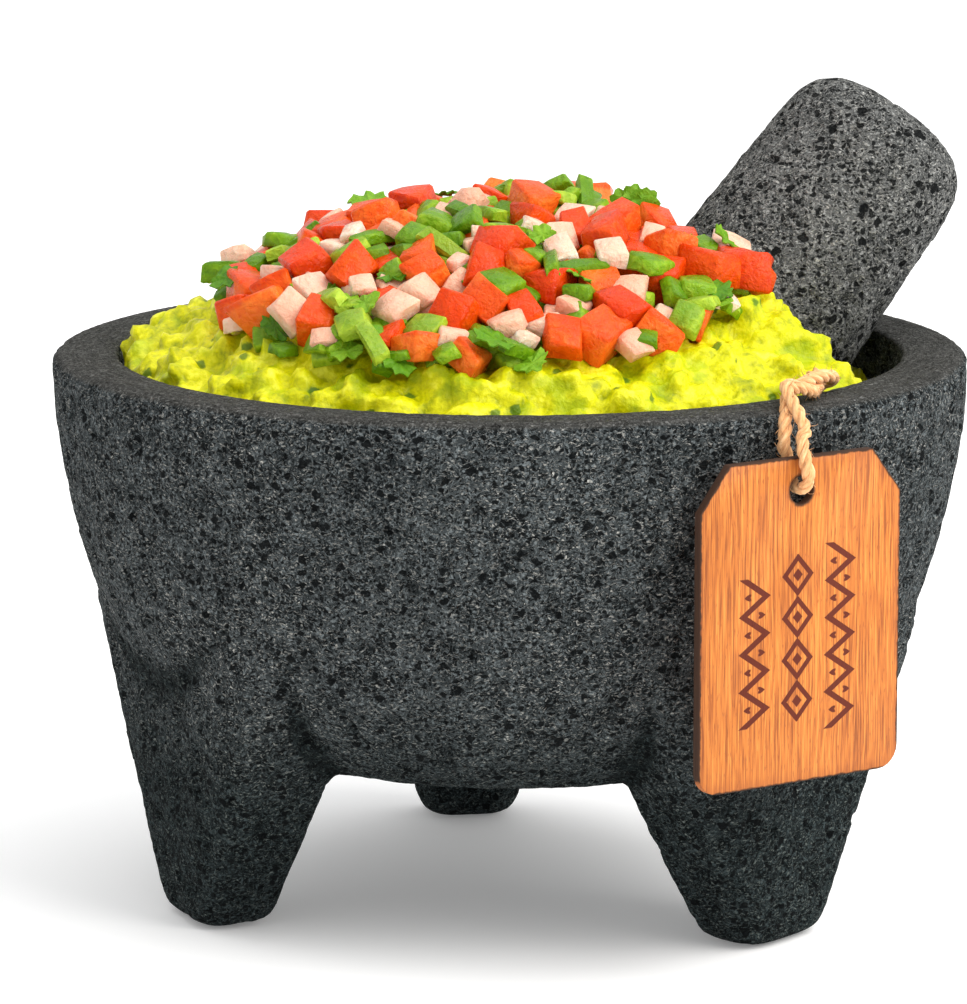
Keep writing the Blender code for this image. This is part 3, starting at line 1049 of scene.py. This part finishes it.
class Yarn:
    """Spun cord as a mesh of thin tubes, with a map that runs along each of them."""

    def __init__(self, seed: int, pitch: float, ply: float) -> None:
        """Starts with nothing, a seeded source of unevenness, the plies' pitch and their radius."""
        self.chooser = random.Random(seed)
        self.pitch = pitch
        self.ply = ply
        self.points: list[Vector] = []
        self.faces: list[tuple[int, ...]] = []
        self.maps: list[Pair] = []

    def tube(self, route: Route, radii: Sequence[float], sides: int, start: float = 0.0) -> None:
        """Adds a closed tube.

        Args:
            route: The points that it follows.
            radii: Its radius at each of them.
            sides: How many sides it has.
            start: Where its map begins, in millimetres.
        """
        base, along = len(self.points), start
        for index, (point, (_, across, other)) in enumerate(zip(route, frames_along(route))):
            for side in range(sides):
                angle = 2 * pi * side / sides
                self.points.append(point + (across * cos(angle) + other * sin(angle)) * radii[index])
            if index:
                step = MILLIMETRES * (point - route[index - 1]).length
                for side in range(sides):
                    after = (side + 1) % sides
                    low, high = base + (index - 1) * sides, base + index * sides
                    self.faces.append((low + side, low + after, high + after, high + side))
                    left, right = side / sides, (side + 1) / sides
                    self.maps += [(along, left), (along, right), (along + step, right), (along + step, left)]
                along += step
        last = base + (len(route) - 1) * sides
        self.faces.append(tuple(range(base + sides - 1, base - 1, -1)))
        self.faces.append(tuple(range(last, last + sides)))
        self.maps += [(start, 0.5)] * sides + [(along, 0.5)] * sides

    def spin(self, route: Route) -> None:
        """Adds three plies wound round a route.

        Args:
            route: The route's points, evenly spaced.
        """
        frames = frames_along(route)
        step = (route[1] - route[0]).length
        for ply in range(3):
            drift = self.chooser.uniform(0, 9)
            path, radii = [], []
            for index, (point, (_, across, other)) in enumerate(zip(route, frames)):
                angle = 2 * pi * (index * step / self.pitch + ply / 3)
                swell = 1 + 0.16 * sin(index * 0.21 + drift) + 0.08 * sin(index * 0.57 + 2 * drift)
                path.append(point + (across * cos(angle) + other * sin(angle)) * self.ply)
                radii.append(self.ply * swell * (0.35 if index in (0, len(route) - 1) else 1.0))
            self.tube(path, radii, 7, drift)

    def stray(self, route: Route, count: int, longest: float) -> None:
        """Adds loose fibres that stand out from a route.

        Args:
            route: The route's points.
            count: How many.
            longest: How far the longest reach, in metres.
        """
        frames = frames_along(route)
        for _ in range(count):
            index = self.chooser.randrange(2, len(route) - 3)
            ahead, across, other = frames[index]
            angle, reach = self.chooser.uniform(0, 2 * pi), self.chooser.uniform(0.35, 1.0) * longest
            outwards = across * cos(angle) + other * sin(angle)
            curl, lean = self.chooser.uniform(-1, 1), self.chooser.uniform(-1.4, 1.4)
            path = []
            for part in range(6):
                share = part / 5
                side = ahead.cross(outwards) * curl * reach * 0.4 * sin(share * 2.6)
                away = outwards * (0.0011 + reach * share**0.8 * 0.75)
                path.append(route[index] + away + ahead * lean * reach * share + side)
            radii = [0.00009 - 0.00005 * part / 5 for part in range(6)]
            self.tube(path, radii, 3, self.chooser.uniform(0, 50))

    def piece(self, name: str) -> Piece:
        """The finished mesh as an object."""
        mesh = bpy.data.meshes.new(name)
        mesh.from_pydata(self.points, [], self.faces)
        layer = mesh.uv_layers.new(name="Along")
        layer.data.foreach_set("uv", np.array(self.maps).ravel())
        return linked(name, mesh)


def frames_along(route: Route, across: Optional[Vector] = None) -> list[tuple[Vector, Vector, Vector]]:
    """Finds the directions at each point of a route, carried along without twist.

    Args:
        route: The route's points.
        across: The direction that the first one across is taken from, or none for any.

    Returns:
        The directions ahead, across and square to both, point by point.
    """
    found, last = [], len(route) - 1
    for index in range(len(route)):
        ahead = (route[min(index + 1, last)] - route[max(index - 1, 0)]).normalized()
        across = ahead.orthogonal() if across is None else across - ahead * across.dot(ahead)
        across.normalize()
        found.append((ahead, across.copy(), ahead.cross(across)))
    return found


def smooth_route(points: Route, samples: int) -> list[Vector]:
    """A smooth curve through points, sampled evenly between them."""
    last = len(points) - 1
    handles = [(points[min(index + 1, last)] - points[max(index - 1, 0)]) / 6 for index in range(len(points))]
    route = [points[0]]
    for index in range(last):
        start, end = points[index], points[index + 1]
        leaving, arriving = start + handles[index], end - handles[index + 1]
        route += interpolate_bezier(start, leaving, arriving, end, samples + 1)[1:]
    return route


def evenly(route: Route, step: float) -> list[Vector]:
    """A route again, with its points about one step apart."""
    line = np.array(route)
    along = np.concatenate([[0], np.cumsum(np.linalg.norm(np.diff(line, axis=0), axis=1))])
    at = np.linspace(0, along[-1], int(along[-1] / step) + 1)
    spread = np.stack([np.interp(at, along, line[:, axis]) for axis in range(3)], axis=1)
    return [Vector(point) for point in spread]


@dataclass
class HangTwine:
    """One length of jute, knotted inside the bowl, laid double over the rim and looped through the tag."""

    tag: HangTag
    length: float = 0.155
    strand: float = 0.0028
    doubled: float = 0.0044
    gap: float = 0.0007
    outer_azimuth: float = -54.5
    inner_azimuth: float = -40.0
    inner_end: float = 0.1080
    knot_height: float = 0.1025
    knot_radius: float = 0.0034
    hairpin: float = 0.0033
    hairpin_low: float = 0.0002
    pivot_to_strand: float = 0.0043
    lay: float = 0.00135
    lay_turns: float = 1.5
    pitch: float = 0.0085
    ply: float = 0.00074
    fibres: int = 190
    longest_fibre: float = 0.0022
    seed: int = 11

    def side(self) -> float:
        """How far to the right of the tag's hole the twine crosses the rim's outer edge."""
        return RIM_RADIUS * sin(radians(self.outer_azimuth - self.tag.azimuth))

    def knot_centre(self) -> Vector:
        """The middle of the knot."""
        reach = RIM_RADIUS - RIM_WIDTH - self.knot_radius - 0.0036
        return polar(reach, self.inner_azimuth + 1.0, self.knot_height)

    def over_rim(self) -> list[Vector]:
        """The doubled twine: across the rim top, round its inner edge and down the wall of the hollow."""
        lift = RIM_HEIGHT + self.gap + self.doubled / 2
        turn = RIM_EDGE + self.gap + self.doubled / 2
        inner, azimuth, slope = RIM_RADIUS - RIM_WIDTH + RIM_EDGE, self.inner_azimuth, sin(radians(45))
        return [
            self.tag.place(RIM_RADIUS - RIM_EDGE, self.side(), lift),
            polar((RIM_RADIUS + inner) / 2 - 0.001, (self.outer_azimuth + azimuth) / 2, lift),
            polar(inner + 0.001, azimuth - 1.0, lift),
            polar(inner - turn * slope, azimuth, RIM_HEIGHT - RIM_EDGE + turn * slope),
            polar(inner - turn - 0.0002, azimuth + 0.5, RIM_HEIGHT - RIM_EDGE),
            polar(inner - turn - 0.0010, azimuth + 1.0, 0.1145),
            polar(inner - turn - 0.0020, azimuth + 1.0, self.inner_end),
        ]

    def drop(self) -> list[Vector]:
        """The single strand: down in front of the tag, back through its hole and up behind it."""
        tag, side = self.tag, self.side()
        reach = RIM_RADIUS - RIM_EDGE + self.pivot_to_strand
        top, beside = RIM_HEIGHT - RIM_EDGE - 0.0006, self.doubled / 2
        bend, tag_top = tag.hole_height + self.hairpin_low + self.hairpin, tag.hole_height + tag.hole_from_top
        front, rear = tag.plane + self.hairpin, tag.plane - self.hairpin
        points = [
            tag.place(reach + beside, side + 0.0004, top),
            tag.place(reach + 0.0036, side * 0.5 - 0.0006, tag_top + 0.0042),
            tag.place(front - 0.0004, -0.0010, tag_top + 0.0012),
            tag.place(front, -0.0006, tag_top - 0.0020),
        ]
        for step in range(9):
            angle = pi * step / 8
            outwards = tag.plane + self.hairpin * cos(angle)
            points.append(tag.place(outwards, 0.0, bend - self.hairpin * sin(angle)))
        points += [
            tag.place(rear, -0.0004, tag_top - 0.0010),
            tag.place(rear - 0.0001, -0.0016, tag_top + 0.0028),
            tag.place(reach - 0.0005, side - 0.0018, top),
        ]
        return points

    def laid_strand(self, start: float) -> list[Vector]:
        """One of the two strands over the rim, from the rim's outer edge to the knot.

        Args:
            start: The angle at which it lies round the other one at the outer edge.

        Returns:
            Its points.
        """
        route = evenly(smooth_route(self.over_rim(), 8), 0.0012)
        frames = frames_along(route, self.tag.place(0.0, 1.0, 0.0))
        strand = []
        for index, (point, (_, across, other)) in enumerate(zip(route, frames)):
            turned = start + 2 * pi * self.lay_turns * index / (len(route) - 1)
            strand.append(point + (across * cos(turned) + other * sin(turned)) * self.lay)
        return strand

    def route(self) -> list[Vector]:
        """The whole length, from the knot over the rim, through the tag and back to the knot."""
        centre = self.knot_centre()
        out, back = self.laid_strand(-pi / 2), self.laid_strand(pi / 2)
        drop = smooth_route(self.drop(), 3)
        lead = Vector((0.0, 0.0, 0.0015))
        corners = [centre + lead, *out[::-1][::3], *drop[1:-1:2], *back[::3], centre + lead]
        return evenly(smooth_route(corners, 5), 0.0007)

    def knot(self, material: Material) -> Piece:
        """An overhand knot with two short frayed ends, in place of its CAD node."""
        centre, yarn = self.knot_centre(), Yarn(self.seed + 1, self.pitch, self.ply)
        lobes = []
        for step in range(64):
            angle = 2 * pi * step / 64
            reach = 0.0019 + 0.00075 * cos(3 * angle)
            around = Vector((reach * cos(2 * angle), reach * sin(2 * angle), 0.0013 * sin(3 * angle)))
            lobes.append(centre + around)
        yarn.spin(evenly(lobes + [lobes[0]], 0.0006))
        for turn in (1.2, 4.8):
            tail = []
            for step in range(4):
                side = Vector((cos(turn + step), sin(turn + step), 0.0)) * 0.0012
                tail.append(centre + side + Vector((0.0, 0.0, -0.0008 - 0.0008 * step)))
            yarn.spin(evenly(tail, 0.0005))
            yarn.stray(evenly(tail, 0.0003), 12, 0.001)
        piece = yarn.piece("hang_knot")
        dress(piece, material, Body.BOWL)
        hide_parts("twine_knot")
        return piece

    def build(self) -> Piece:
        """Makes the finished twine in place of its two CAD tubes."""
        material = JuteFibre("spun_jute").make()
        knot = self.knot(material)
        route, yarn = self.route(), Yarn(self.seed, self.pitch, self.ply)
        yarn.spin(route)
        yarn.stray(route, self.fibres, self.longest_fibre)
        piece = yarn.piece("hang_twine")
        dress(piece, material)
        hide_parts("twine_over_rim", "twine_drop")
        measured = sum((b - a).length for a, b in zip(route, route[1:]))
        log.info("hang_twine: %.1f mm along its centreline", MILLIMETRES * measured)
        side, reach = self.side(), RIM_RADIUS - RIM_EDGE
        self.tag.place(reach - 0.0010, side, RIM_HEIGHT + 0.0030)
        self.tag.place(reach + 0.0050, side, RIM_HEIGHT - 0.0005)
        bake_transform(piece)
        return piece


# ---- food


@dataclass
class Guacamole:
    """The heap of mashed avocado that fills the bowl, with the hollow that the pestle leaves in it."""

    bowl: Bowl
    edge: float = 0.0863
    dome: float = 0.016
    dome_radius: float = 0.086
    dome_power: float = 3.4
    crown: float = 0.0095
    crown_centre: Pair = (-0.001, -0.006)
    crown_radius: float = 0.056
    socket_radius: float = 0.0292
    socket_foot: Vector = Vector((0.0104, 0.0039, 0.0690))
    lift: Vector = Vector((0.53743, 0.2004, 0.81915))
    shore: float = 0.052
    shore_azimuth: float = 15.0
    shore_fall: float = 2.6
    shore_side: Pair = (-0.045, -0.015)
    bulge: float = 0.005
    bulge_centre: Pair = (0.060, -0.028)
    bulge_radius: float = 0.018
    coarse_voxel: float = 0.0024
    voxel: float = 0.00135
    lumps: tuple[tuple[Any, ...], ...] = (
        (0.0100, 0.0080, 0.50, 1),
        (0.0058, -0.0052, 0.35, 0, "VORONOI"),
        (0.0028, 0.0030, 0.50, 2),
    )
    smear_reach: float = 0.0858
    smears: tuple[Triple, ...] = (
        (22.6, 0.1122, 0.0023),
        (20.2, 0.1110, 0.0018),
        (25.2, 0.1130, 0.0015),
    )

    def top(self, x: np.ndarray, y: np.ndarray) -> np.ndarray:
        """The height of the heap's smooth top."""
        reach = np.hypot(x, y)
        crown = np.hypot(x - self.crown_centre[0], y - self.crown_centre[1]) / self.crown_radius
        bulge = (x - self.bulge_centre[0]) ** 2 + (y - self.bulge_centre[1]) ** 2
        height = RIM_HEIGHT + self.dome * (1 - (reach / self.dome_radius) ** self.dome_power)
        height = height + self.crown * np.clip(1 - crown**2, 0, 1)
        height = height + self.bulge * np.exp(-bulge / self.bulge_radius**2)
        beyond = x * cos(radians(self.shore_azimuth)) + y * sin(radians(self.shore_azimuth)) - self.shore
        height = height - np.clip(beyond, 0, 1) * self.shore_fall * soft_step(*self.shore_side, y)
        return np.maximum(height, self.bowl.hollow_height(reach) + 0.0006)

    def near_pestle(self, places: np.ndarray) -> np.ndarray:
        """How far points are from the line that the pestle is lifted along."""
        offset = places - np.array(self.socket_foot)
        direction = np.array(self.lift.normalized())
        return np.linalg.norm(offset - np.outer(offset @ direction, direction), axis=1)

    def build(self) -> Piece:
        """Makes the heap."""
        piece = primitive("uv_sphere", "guacamole", segments=96, ring_count=64, radius=1.0)
        ball = points_of(piece)
        share = np.clip(np.hypot(ball[:, 0], ball[:, 1]), 1e-9, 1)
        reach = share * self.edge
        places = np.stack([ball[:, 0] * self.edge, ball[:, 1] * self.edge, np.zeros(len(ball))], axis=1)
        above = ball[:, 2] > -1e-4
        places[above, 2] = self.top(places[above, 0], places[above, 1])
        places[~above, 2] = self.bowl.hollow_height(reach[~above]) + 0.0005
        move_points(piece, places)
        remesh(piece, self.coarse_voxel)
        socket = primitive("cylinder", "pestle_socket", vertices=64, radius=self.socket_radius, depth=0.30)
        socket.rotation_euler = self.lift.to_track_quat("Z", "Y").to_euler()
        socket.location = self.socket_foot + self.lift.normalized() * 0.15
        apply_modifier(piece, "BOOLEAN", operation="DIFFERENCE", object=socket)
        discard(socket)
        self.smear(piece)
        remesh(piece, self.voxel)
        self.lump(piece)
        dress(piece, MashedAvocado("mashed_avocado").make(), Body.BOWL)
        return piece

    def smear(self, piece: Piece) -> None:
        """Adds the small bits that stick to the wall beside the pestle."""
        for azimuth, height, radius in self.smears:
            spot = polar(self.smear_reach, azimuth, height)
            bit = primitive("ico_sphere", "smear", subdivisions=3, radius=radius, location=spot)
            bit.scale = (1.3, 1.3, 0.8)
            settle(bit)
            join([piece, bit])

    def lump(self, piece: Piece) -> None:
        """Makes the open surface lumpy, and leaves what touches the stone or faces the pestle."""
        places = points_of(piece)
        clear = places[:, 2] - self.bowl.hollow_height(np.hypot(places[:, 0], places[:, 1]))
        open_share = soft_step(0.001, 0.006, clear) * soft_step(0.1, 0.35, points_of(piece, "normal")[:, 2])
        open_share *= soft_step(0.0295, 0.0335, self.near_pestle(places))
        group = weigh(piece, "open", open_share)
        for lump in self.lumps:
            rough(piece, group, *lump)
        apply_modifier(piece, "SMOOTH", factor=0.5, iterations=1)


class Cut(Enum):
    """The kinds of chopped piece on the heap."""

    TOMATO = "tomato_dice"
    ONION = "onion_dice"
    CHILE = "chile_dice"
    LEAF = "cilantro_leaves"


# How tall each kind lies, as a share of its width.
THICKNESS = {Cut.TOMATO: 0.62, Cut.ONION: 0.42, Cut.CHILE: 0.36, Cut.LEAF: 0.12}
# The dice's flatness, unevenness and bow.
DICE = {Cut.TOMATO: (0.78, 0.15, 0.10), Cut.ONION: (0.50, 0.13, 0.25), Cut.CHILE: (0.45, 0.10, 0.30)}
# How many pieces of each kind are laid, and the least and greatest width of one.
SHARES = {
    Cut.TOMATO: (100, 0.0078, 0.0108),
    Cut.ONION: (100, 0.0052, 0.0086),
    Cut.CHILE: (215, 0.0050, 0.0082),
    Cut.LEAF: (60, 0.0060, 0.0095),
}


@dataclass
class Topping:
    """The chopped salsa on the heap, each kind a few shapes copied, turned and piled in seeded order."""

    heap: Guacamole
    centre: Pair = (-0.0042, -0.0085)
    half_width: float = 0.0595
    half_depth: float = 0.0690
    sprig: Pair = (0.0276, -0.0050)
    leaflet: float = 0.0078
    sprig_reach: float = 0.004
    leaflet_lift: float = 0.0038
    border: float = 0.012
    cell: float = 0.0015
    seed: int = 5
    shapes: int = 5
    tries: int = 9
    die_edge: float = 0.06
    highest_pile: float = 0.0085

    def finishes(self) -> dict[Cut, ChoppedVegetable]:
        """The finish of each kind."""
        return {
            Cut.TOMATO: ChoppedVegetable(
                "tomato_flesh", (0.55, 0.030, 0.001), (0.74, 0.080, 0.002), (0.87, 0.205, 0.024),
                skin=(0.64, 0.034, 0.001), skin_share=0.6, roughness=0.30, soft=0.12,
            ),
            Cut.ONION: ChoppedVegetable(
                "onion_flesh", (0.72, 0.35, 0.22), (0.81, 0.54, 0.39), (0.88, 0.76, 0.62),
                skin=(0.78, 0.37, 0.25), skin_share=0.5, roughness=0.32, soft=0.30,
            ),
            Cut.CHILE: ChoppedVegetable(
                "green_chile", (0.070, 0.18, 0.002), (0.18, 0.34, 0.006), (0.42, 0.56, 0.040),
                skin=(0.050, 0.15, 0.003), skin_share=0.5, roughness=0.32, soft=0.10,
            ),
            Cut.LEAF: ChoppedVegetable(
                "cilantro_leaf", (0.045, 0.15, 0.003), (0.11, 0.27, 0.006), (0.22, 0.40, 0.018),
                skin=(0.06, 0.2, 0.015), skin_share=0.0, roughness=0.45, soft=0.05,
            ),
        }

    def die(self, name: str, chooser: random.Random, flat: float, uneven: float, bow: float) -> Piece:
        """One chopped piece about 1 across, to be scaled.

        Args:
            name: Its name.
            chooser: The seeded source of its unevenness.
            flat: Its height for a width of 1.
            uneven: How far its corners stray.
            bow: How much it is bowed, as a piece of a round wall is.

        Returns:
            The shape, with its layers marked from 0 below to 1 above.
        """
        piece = primitive("cube", name, size=1.0, scale=(1.0, 1.0, flat))
        settle(piece)
        places = points_of(piece)
        for corner in places:
            corner += [chooser.uniform(-uneven, uneven) for _ in range(3)]
        move_points(piece, places)
        edit(piece, lambda: bpy.ops.mesh.subdivide(number_cuts=1, smoothness=0.0))
        bevel(piece, self.die_edge, 1, 35)
        places = points_of(piece)
        places[:, 2] -= bow * (places[:, 0] ** 2 + 0.3 * places[:, 1] ** 2)
        move_points(piece, places)
        low, high = places[:, 2].min(), places[:, 2].max()
        carry(piece, "layer", (places[:, 2] - low) / (high - low))
        return piece

    def leaf(self, name: str, chooser: random.Random) -> Piece:
        """One lobed leaflet about 1 across, to be scaled."""
        piece = primitive("circle", name, vertices=27, radius=0.5, fill_type="TRIFAN")
        places = points_of(piece)
        lean, curl = chooser.uniform(0, 2 * pi), chooser.uniform(0.15, 0.5)
        for index, place in enumerate(places):
            angle = np.arctan2(place[1], place[0])
            lobe = 0.72 + 0.26 * abs(cos(1.5 * angle)) + 0.10 * cos(9 * angle + lean)
            place[:2] *= lobe
            place[2] = curl * (place[0] ** 2 - 0.6 * place[1]) + 0.05 * sin(7 * angle)
        move_points(piece, places)
        apply_modifier(piece, "SOLIDIFY", thickness=0.035, offset=0.0)
        carry(piece, "layer", np.zeros(len(piece.data.vertices)))
        return piece

    def patterns(self, chooser: random.Random) -> dict[Cut, list[Piece]]:
        """The few shapes of each kind."""
        found = {
            kind: [self.die(f"{kind.value}_{index}", chooser, *form) for index in range(self.shapes)]
            for kind, form in DICE.items()
        }
        found[Cut.LEAF] = [self.leaf(f"leaf_{index}", chooser) for index in range(self.shapes)]
        return found

    def order(self, chooser: random.Random) -> list[tuple[Cut, float]]:
        """The kinds and sizes in the order that they are laid."""
        large, small = [], []
        for kind, (count, least, most) in SHARES.items():
            pieces = [(kind, chooser.uniform(least, most)) for _ in range(count)]
            (large if kind is Cut.TOMATO else small).extend(pieces)
        chooser.shuffle(small)
        first = large + small[: len(small) // 2]
        chooser.shuffle(first)
        return first + small[len(small) // 2 :]

    def build(self) -> list[Piece]:
        """Lays every piece and joins each kind into one."""
        chooser = random.Random(self.seed)
        patterns = self.patterns(chooser)
        copies: dict[Cut, list[Piece]] = {kind: [] for kind in Cut}
        count = int(2 * (self.half_depth + self.border) / self.cell)
        ticks = (np.arange(count) - count / 2) * self.cell
        grid = np.meshgrid(ticks + self.centre[0], ticks + self.centre[1], indexing="ij")
        base = self.heap.top(*grid)
        field = base.copy()
        for kind, size in self.order(chooser):
            best = self.lowest(grid, base, field, size, chooser)
            if best is None or best[0] > self.highest_pile:
                continue
            _, spot, near, under = best
            field[near] = np.maximum(field[near], under + THICKNESS[kind] * size)
            pattern = patterns[kind][chooser.randrange(self.shapes)]
            copies[kind].append(self.lay(pattern, kind, spot, size, chooser))
        near = (grid[0] - self.sprig[0]) ** 2 + (grid[1] - self.sprig[1]) ** 2 < self.sprig_reach**2
        foot = Vector((*self.sprig, float(field[near].max()) - 0.001))
        for lean in (-0.5, 0.1, 0.75):
            copies[Cut.LEAF].append(self.stand(patterns[Cut.LEAF][0], foot, lean))
        for shape in sum(patterns.values(), []):
            discard(shape)
        return [self.gather(kind, copies[kind], finish) for kind, finish in self.finishes().items()]

    def lowest(
        self,
        grid: Sequence[np.ndarray],
        base: np.ndarray,
        field: np.ndarray,
        size: float,
        chooser: random.Random,
    ) -> Optional[tuple[float, Vector, np.ndarray, float]]:
        """Tries a few spots for a piece and keeps the one that is piled least.

        Args:
            grid: The places of the height field's cells, across and in depth.
            base: The heap's height in each cell.
            field: The pile's height in each cell so far.
            size: How wide the piece is, in metres.
            chooser: The seeded source of the spots.

        Returns:
            How high the pile is there, the spot, the cells under the piece and what it rests on.
        """
        best = None
        for _ in range(self.tries):
            reach, angle = chooser.random() ** 0.5, chooser.uniform(0, 2 * pi)
            x = self.centre[0] + self.half_width * reach * cos(angle)
            y = self.centre[1] + self.half_depth * reach * sin(angle)
            near = (grid[0] - x) ** 2 + (grid[1] - y) ** 2 < (size * 0.46) ** 2
            under = float(field[near].mean() * 0.45 + field[near].max() * 0.55)
            spot = Vector((x, y, under + size * 0.3))
            if self.heap.near_pestle(np.array([spot]))[0] < self.heap.socket_radius + size * 0.72:
                continue
            piled = under - float(base[near].mean())
            if best is None or piled < best[0]:
                best = (piled, spot, near, under)
        return best

    def stand(self, pattern: Piece, foot: Vector, lean: float) -> Piece:
        """Copies the leaflet to the sprig that stands on top, leaning to one side of its foot."""
        piece = linked("sprig", pattern.data.copy())
        raised = Matrix.Translation((0.0, 0.0, self.leaflet_lift))
        turn = Matrix.Rotation(lean, 4, "Y") @ raised @ Matrix.Rotation(radians(80), 4, "X")
        piece.data.transform(Matrix.Translation(foot) @ turn @ Matrix.Scale(self.leaflet, 4))
        carry(piece, "tint", np.full(len(piece.data.vertices), 0.6))
        return piece

    def lay(
        self, pattern: Piece, kind: Cut, spot: Vector, size: float, chooser: random.Random
    ) -> Piece:
        """Copies one shape to its place on the heap.

        Args:
            pattern: The shape.
            kind: What it is.
            spot: Where it rests.
            size: How wide it is, in metres.
            chooser: The seeded source of its turn.

        Returns:
            The copy, with its own mesh.
        """
        piece = linked(kind.value, pattern.data.copy())
        slope = Vector((spot.x, spot.y, 0.0)) * 6.0 + Vector((0.0, 0.0, 1.0))
        tilt = 0.55 if kind is not Cut.LEAF else 0.4
        slope = slope.normalized() + Vector([chooser.uniform(-tilt, tilt) for _ in range(3)])
        upright = slope.to_track_quat("Z", "Y").to_matrix().to_4x4()
        turn = upright @ Matrix.Rotation(chooser.uniform(0, 2 * pi), 4, "Z")
        slim = 1.7 if kind is Cut.CHILE and chooser.random() < 0.3 else 1.0
        across = (size * chooser.uniform(0.8, 1.15) * slim, size * chooser.uniform(0.75, 1.05) / slim)
        scale = Matrix.Diagonal((*across, size, 1.0))
        piece.data.transform(Matrix.Translation(spot) @ turn @ scale)
        carry(piece, "tint", np.full(len(piece.data.vertices), chooser.random()))
        return piece

    def gather(self, kind: Cut, pieces: list[Piece], finish: ChoppedVegetable) -> Piece:
        """Joins the copies of one kind and dresses them."""
        joined = join(pieces)
        joined.name = joined.data.name = kind.value
        dress(joined, finish.make(), Body.BOWL, 50.0)
        return joined


# ---- studio


@dataclass
class Studio:
    """The pale floor, the soft lights and the camera."""

    distance: float = 1.2556
    eye_height: float = 0.3244
    pitch: float = 10.64
    yaw: float = 0.27
    lens: float = 203.7
    sky: float = 0.83
    aim: float = 0.09

    def camera(self) -> None:
        """Makes the camera."""
        data = bpy.data.cameras.new("studio_camera")
        data.lens, data.sensor_width, data.sensor_fit = self.lens, 36.0, "AUTO"
        camera = linked("studio_camera", data)
        camera.location = (0.0, -self.distance, self.eye_height)
        camera.rotation_euler = (radians(90 - self.pitch), 0.0, radians(self.yaw))
        bpy.context.scene.camera = camera

    def floor(self) -> None:
        """Makes the floor."""
        floor = primitive("plane", "studio_floor", size=5.0)
        floor.data.materials.append(StudioFloor("matt_floor", 0.94).make())

    def light(self, name: str, place: Sequence[float], size: float, power: float, colour: Colour) -> None:
        """Adds one square soft light that faces the bowl.

        Args:
            name: Its name.
            place: Where it hangs, in metres.
            size: The length of its side.
            power: Its power in watts.
            colour: Its colour.
        """
        data = bpy.data.lights.new(name, "AREA")
        data.shape, data.size, data.energy, data.color = "SQUARE", size, power, colour
        lamp = linked(name, data)
        lamp.location = place
        towards = Vector((0.0, 0.0, self.aim)) - Vector(place)
        lamp.rotation_euler = towards.to_track_quat("-Z", "Y").to_euler()

    def world(self) -> None:
        """Makes the even pale surroundings, behind a white backdrop."""
        world = bpy.data.worlds.new("studio_surroundings")
        bpy.context.scene.world = world
        world.use_nodes = True
        tree = world.node_tree
        sky, backdrop = tree.nodes["Background"], tree.nodes.new("ShaderNodeBackground")
        for shade, strength in ((sky, self.sky), (backdrop, 1.0)):
            shade.inputs["Color"].default_value = (1.0, 1.0, 1.0, 1.0)
            shade.inputs["Strength"].default_value = strength
        choice, ray = tree.nodes.new("ShaderNodeMixShader"), tree.nodes.new("ShaderNodeLightPath")
        feeds = (ray.outputs["Is Camera Ray"], sky.outputs[0], backdrop.outputs[0])
        for source, target in zip(feeds, choice.inputs):
            tree.links.new(source, target)
        tree.links.new(choice.outputs[0], tree.nodes["World Output"].inputs["Surface"])

    def build(self) -> None:
        """Sets up the camera, the floor and the light."""
        self.camera()
        self.floor()
        self.world()
        self.light("key_light", (1.5, -0.9, 1.7), 2.0, 62.0, (1.0, 0.985, 0.96))
        self.light("top_light", (0.1, 0.2, 2.0), 2.2, 18.0, (1.0, 1.0, 1.0))
        bpy.context.scene.view_settings.view_transform = "Standard"
        log.info("studio: camera, floor and two lights")


BOWL_STONE = LavaStone(
    "dark_lava_stone",
    dark=(0.0060, 0.0088, 0.0098),
    pale=(0.166, 0.189, 0.195),
    fleck=(0.50, 0.495, 0.46),
    pore=2.7,
    rubbed_and_painted_light=True,
)
PESTLE_STONE = LavaStone(
    "pale_lava_stone",
    dark=(0.040, 0.043, 0.043),
    pale=(0.325, 0.330, 0.320),
    fleck=(0.62, 0.61, 0.57),
    pore=3.3,
    rubbed_and_painted_light=False,
)


def main() -> None:
    """Builds the mortar piece by piece."""
    Studio().build()
    tag = HangTag()
    HangTwine(tag).build()
    tag.build()
    bowl = Bowl(
        "bowl",
        "bowl_stone",
        Body.BOWL,
        Slot.BOWL_STONE,
        BOWL_STONE,
        voxel=0.00122,
        pits=6200,
        pit_radii=(0.0010, 0.0024),
        seed=3,
    )
    bowl.build()
    Pestle(
        "tejolote",
        "tejolote_stone",
        Body.PESTLE,
        Slot.PESTLE_STONE,
        PESTLE_STONE,
        voxel=0.00085,
        pits=1300,
        pit_radii=(0.0008, 0.0019),
        seed=4,
        wobble=0.0007,
        swell=0.0007,
    ).build()
    heap = Guacamole(bowl)
    heap.build()
    Topping(heap).build()


if __name__ == "__main__":
    logging.basicConfig(level=logging.INFO, format="%(name)s %(message)s")
    main()
